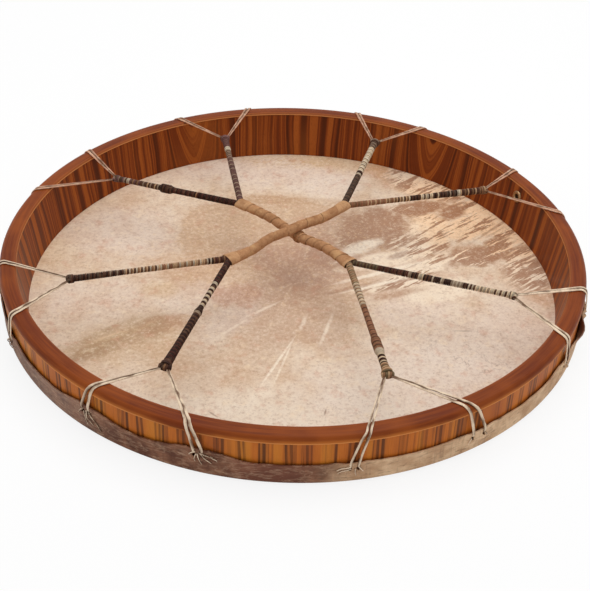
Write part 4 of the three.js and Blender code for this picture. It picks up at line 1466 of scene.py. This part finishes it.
def strip(shape, stops, light, dark, fray=0.16, around=10, shade_ends=True):
    """A flat strip along stops, uneven in width, with painted light: pale on its outer face and one
    edge, dark on its other edge and at its ends.
    """
    offset = chance.uniform(0, 100)
    last = len(stops) - 1
    headings = [
        (stops[min(k + 1, last)].point - stops[max(k - 1, 0)].point).normalized()
        for k in range(len(stops))
    ]

    def place_at(turn, share):
        k = round(share * last)
        stop = stops[k]
        across = headings[k].cross(stop.facing).normalized()
        outer = across.cross(headings[k])
        unevenness = 1 + fray * noise.noise(Vector((k * 0.35, offset, 0)))
        width, height = rounded(turn, stop.width * unevenness, stop.thickness)
        curl = 0.22 * MM * noise.noise(Vector((k * 0.2, offset, 9)))
        return stop.point + across * (width + curl) + outer * height

    def tone_at(turn, share):
        from_end = min(share, 1 - share) * last
        patchy = noise.noise(Vector((share * last * 0.16, offset, 4)))
        # The shading is painted: the outer face and one edge are lit, the other edge is in painted
        # shade, and the patchy noise is the strip's own uneven tone.
        shade = 0.5 + 0.2 * math.sin(math.tau * turn) + 0.5 * math.cos(math.tau * turn) + 0.8 * patchy
        # Near its ends the strip is darkened as painted shade.
        if shade_ends:
            shade *= smooth_step(-12, 16, from_end)
        shade = smooth_step(0.1, 0.85, shade)
        return [low + (high - low) * shade for low, high in zip(dark, light)]

    sweep(shape, around, last, place_at, tone_at)


# %% [markdown]
# At the front some laces end in frayed tails. Each tail is a thin strip that lies on the skin,
# listed by where it starts and ends: millimetres to the right of the slits, and below them.

# %% Tails
# The front laces are cream and the rear ones tan; these tones go on a lace's painted lit side, and the
# dark tone is its painted shade.
lit_lace = tint(236, 212, 184)
rear_lit_lace = tint(204, 156, 128)
shaded_lace = tint(104, 74, 54)
tails = {
    "6a": [
        (2, -2, 9, 13, 1.6), (5, -1, 17, 17, 1.5), (-1, 0, 3, 14, 1.3), (-3, -1, -8, 6, 1.2),
    ],
    "6b": [
        (3, -3, 17, 5, 1.3), (3, -2, 12, 9, 1.5), (1, -3, 13, 2, 1.0), (-2, -3, -8, 2, 1.2),
        (0, -1, 4, 10, 1.2), (-1, -1, -2, 8, 1.0),
    ],
    "7a": [
        (-3, -2, -15, 3, 1.4), (-3, 0, -14, 6, 1.2), (1, 0, 2, 9, 1.2), (4, -2, 8, 4, 1.3),
    ],
    "7b": [(-8, 0, -11, 6, 1.2), (7, -1, 10, 3, 1.4)],
    "5b": [(1, -1, 5, 8, 1.2), (-1, 0, -4, 8, 1.2)],
    "8a": [(1, -1, 4, 7, 1.2)],
}


def add_tail(shape, lace, right, down, right_end, down_end, width):
    """A thin strip on the skin, bowed a little, from one place near the slits to another."""
    stops = []
    steps = 6
    for step in range(steps + 1):
        share = step / steps
        bow = math.sin(math.pi * share)
        across = (right + (right_end - right) * share - 0.8 * bow) * MM
        height = slit_height(lace) - (down + (down_end - down) * share - 1.0 * bow) * MM
        direction = along_hoop(lace.slit, across)
        lift = lip_bulge(direction) + max(0.0, ripple(direction, height))
        radius = skin_radius + lift + (0.7 + 0.5 * bow) * MM
        taper = (width * (1 - 0.5 * share)) * MM
        stops.append(Stop(polar(radius, direction, height), polar(1, direction), taper, 0.8 * MM))
    # A tail gets the same painted lit side and painted shade as its lace.
    light = varied(lit_lace, 0.1)
    strip(shape, eased(stops, 1.0 * MM, 2), light, shaded_lace, 0.3, 8, False)


# %% Laces
def spoke_axes(spoke):
    """A spoke's line, the way along it and the way to its left."""
    line = spoke_line(spoke)
    axis = (line.points[1] - line.points[0]).normalized()
    return line, axis, UP.cross(axis).normalized()


def lace_sides(spoke, lace, side):
    """The two strands of a lace on one side of its spoke, from the knot to behind the skin."""
    knot = knot_point(spoke)
    _, axis, left = spoke_axes(spoke)
    heading = (polar(rim_radius - cap_outer_round, lace.rim, lace_height) - knot).normalized()
    strand_gap = 0.5 * MM
    slim = 0.66 if spoke.arm == 3 else 0.44
    clear = 0.3 * MM + (strand_gap / 2 + lace_thickness) * abs(heading.dot(left))
    start = knot + axis * clear + left * side * 3.0 * MM
    sideways = UP.cross(heading).normalized()
    strands = []
    for half in (-1, 1):
        beginning = start + sideways * (half * (strand_gap + lace_thickness) / 2)
        rim = along_hoop(lace.rim, half * lace.spacing * 0.25)
        slit = along_hoop(lace.slit, half * lace.spacing / 2)
        hole = slit_height(lace)
        strands.append(
            strand_stops(beginning, sideways * half, rim, slit, hole, -half, lace.width, slim)
        )
    return strands


def lace_piece(spoke, lace, side, number, letter):
    first, second = lace_sides(spoke, lace, side)
    shape = bmesh.new()
    stops = eased(first + second[::-1])
    # The pale or tan tone goes on the lace's painted lit side and the dark tone on its painted shade.
    light = lit_lace if spoke.arm > 1 else rear_lit_lace
    strip(shape, stops, varied(light, 0.08), varied(shaded_lace, 0.12))
    for tail in tails.get(f"{number}{letter}", []):
        add_tail(shape, lace, *tail)
    name = f"lace_{number}{letter}"
    make_piece(shape, f"strip_{number}{letter}", lace_hide, name)
    return Line([stop.point for stop in stops]).length


for number, spoke in enumerate(spokes, 1):
    for letter, side, lace in zip("ab", (-1, 1), spoke.laces):
        length = lace_piece(spoke, lace, side, number, letter)
        print(f"lace {number}{letter}, both strands: {length / MM:.0f} mm")

# %% [markdown]
# The knot at a spoke's end has two parts. The lace is taken twice round the spoke and pulled
# tight, and then it lies crosswise in a few turns, from whose ends the strands leave for the
# rim. Both are wound with the same tool as the wrappings.

# %% Knots
knot_thickness = 1.3 * MM


def knot(spoke, number):
    """A ring of two turns round the spoke's end and a bar of turns across it."""
    line, axis, left = spoke_axes(spoke)
    words, width = stretch_at(spoke, line.length)
    centre = knot_point(spoke) - axis * 0.4 * MM
    reach = 2.0 * MM + width * 0.42
    crosswise = Line([centre - left * reach, centre + left * reach])
    thick = width * 0.34

    def tone_of(distance, count):
        return varied(tones_of_hide[words[count % len(words)]], 0.18)

    def round_spoke(distance):
        return width / 2 + 0.1 * MM, width / 2 + 0.1 * MM

    def round_bar(distance):
        swell = math.sin(math.pi * min(1.0, max(0.0, distance / crosswise.length)))
        return thick * (0.55 + 0.45 * swell), thick * (0.55 + 0.45 * swell)

    start, end = line.length - 5.2 * MM, line.length - 0.6 * MM
    shape = bmesh.new()
    for way, low, high, pitch, radius_at in (
        (line, start, end, 2.1 * MM, round_spoke),
        (crosswise, 0.0, crosswise.length, 2.2 * MM, round_bar),
    ):
        wrap(shape, way, low, high, pitch, radius_at, knot_thickness, tone_of, steps=24)
    make_piece(shape, f"knot_{number}", dark_strips, f"hitch_{number}")


for number, spoke in enumerate(spokes, 1):
    knot(spoke, number)

# %% [markdown]
# The drum lies on a plain white floor. A large soft lamp overhead and a pale sky light it, at
# a level where a colour shows about as it is written. The sky is white only where the camera
# or a reflection looks at it.

# %% Floor and light
floor_shape = bmesh.new()
bmesh.ops.create_grid(floor_shape, x_segments=1, y_segments=1, size=4)
bmesh.ops.translate(floor_shape, vec=(0, 0, -0.6 * MM), verts=floor_shape.verts)
floor = from_shape("floor", floor_shape)
floor_finish = Finish("floor_paper", roughness=0.9, shine=0.0)
floor_finish.shader.inputs["Base Color"].default_value = (0.96, 0.96, 0.96, 1)
paper = floor_finish.start.add("Emission", {}, {"Strength": 1.0})
watched = floor_finish.start.add("LightPath", {}, {}, "Is Camera Ray")
lit = Wire(floor_finish.tree, floor_finish.shader.outputs[0])
paper_seen = lit.add("MixShader", {}, {0: watched * 0.85, 1: lit, 2: paper})
surface = floor_finish.tree.nodes["Material Output"].inputs["Surface"]
floor_finish.tree.links.new(paper_seen.socket, surface)
floor.data.materials.append(floor_finish.material)

world = bpy.data.worlds.new("studio")
bpy.context.scene.world = world
world.use_nodes = True
sky = Wire(world.node_tree)
kinds = ("Is Camera Ray", "Is Glossy Ray", "Is Transmission Ray")
direct, glossy, through = (sky.add("LightPath", {}, {}, kind) for kind in kinds)
seen = direct.maths("MINIMUM", direct + glossy + through, 1.0)
sky_level = 0.6
background = world.node_tree.nodes["Background"]
world.node_tree.links.new((seen * (1 - sky_level) + sky_level).socket, background.inputs["Strength"])
background.inputs["Color"].default_value = (1, 1, 1, 1)

lamp_data = bpy.data.lights.new("soft_lamp", "AREA")
lamp_data.shape = "SQUARE"
lamp_data.size = 1.6
lamp_data.energy = 17
lamp = placed("soft_lamp", lamp_data)
lamp_place = Vector((0.15, 0.3, 1.7))
lamp.matrix_world = aimed(lamp_place, lamp_place)

bpy.context.scene.view_settings.view_transform = "Standard"
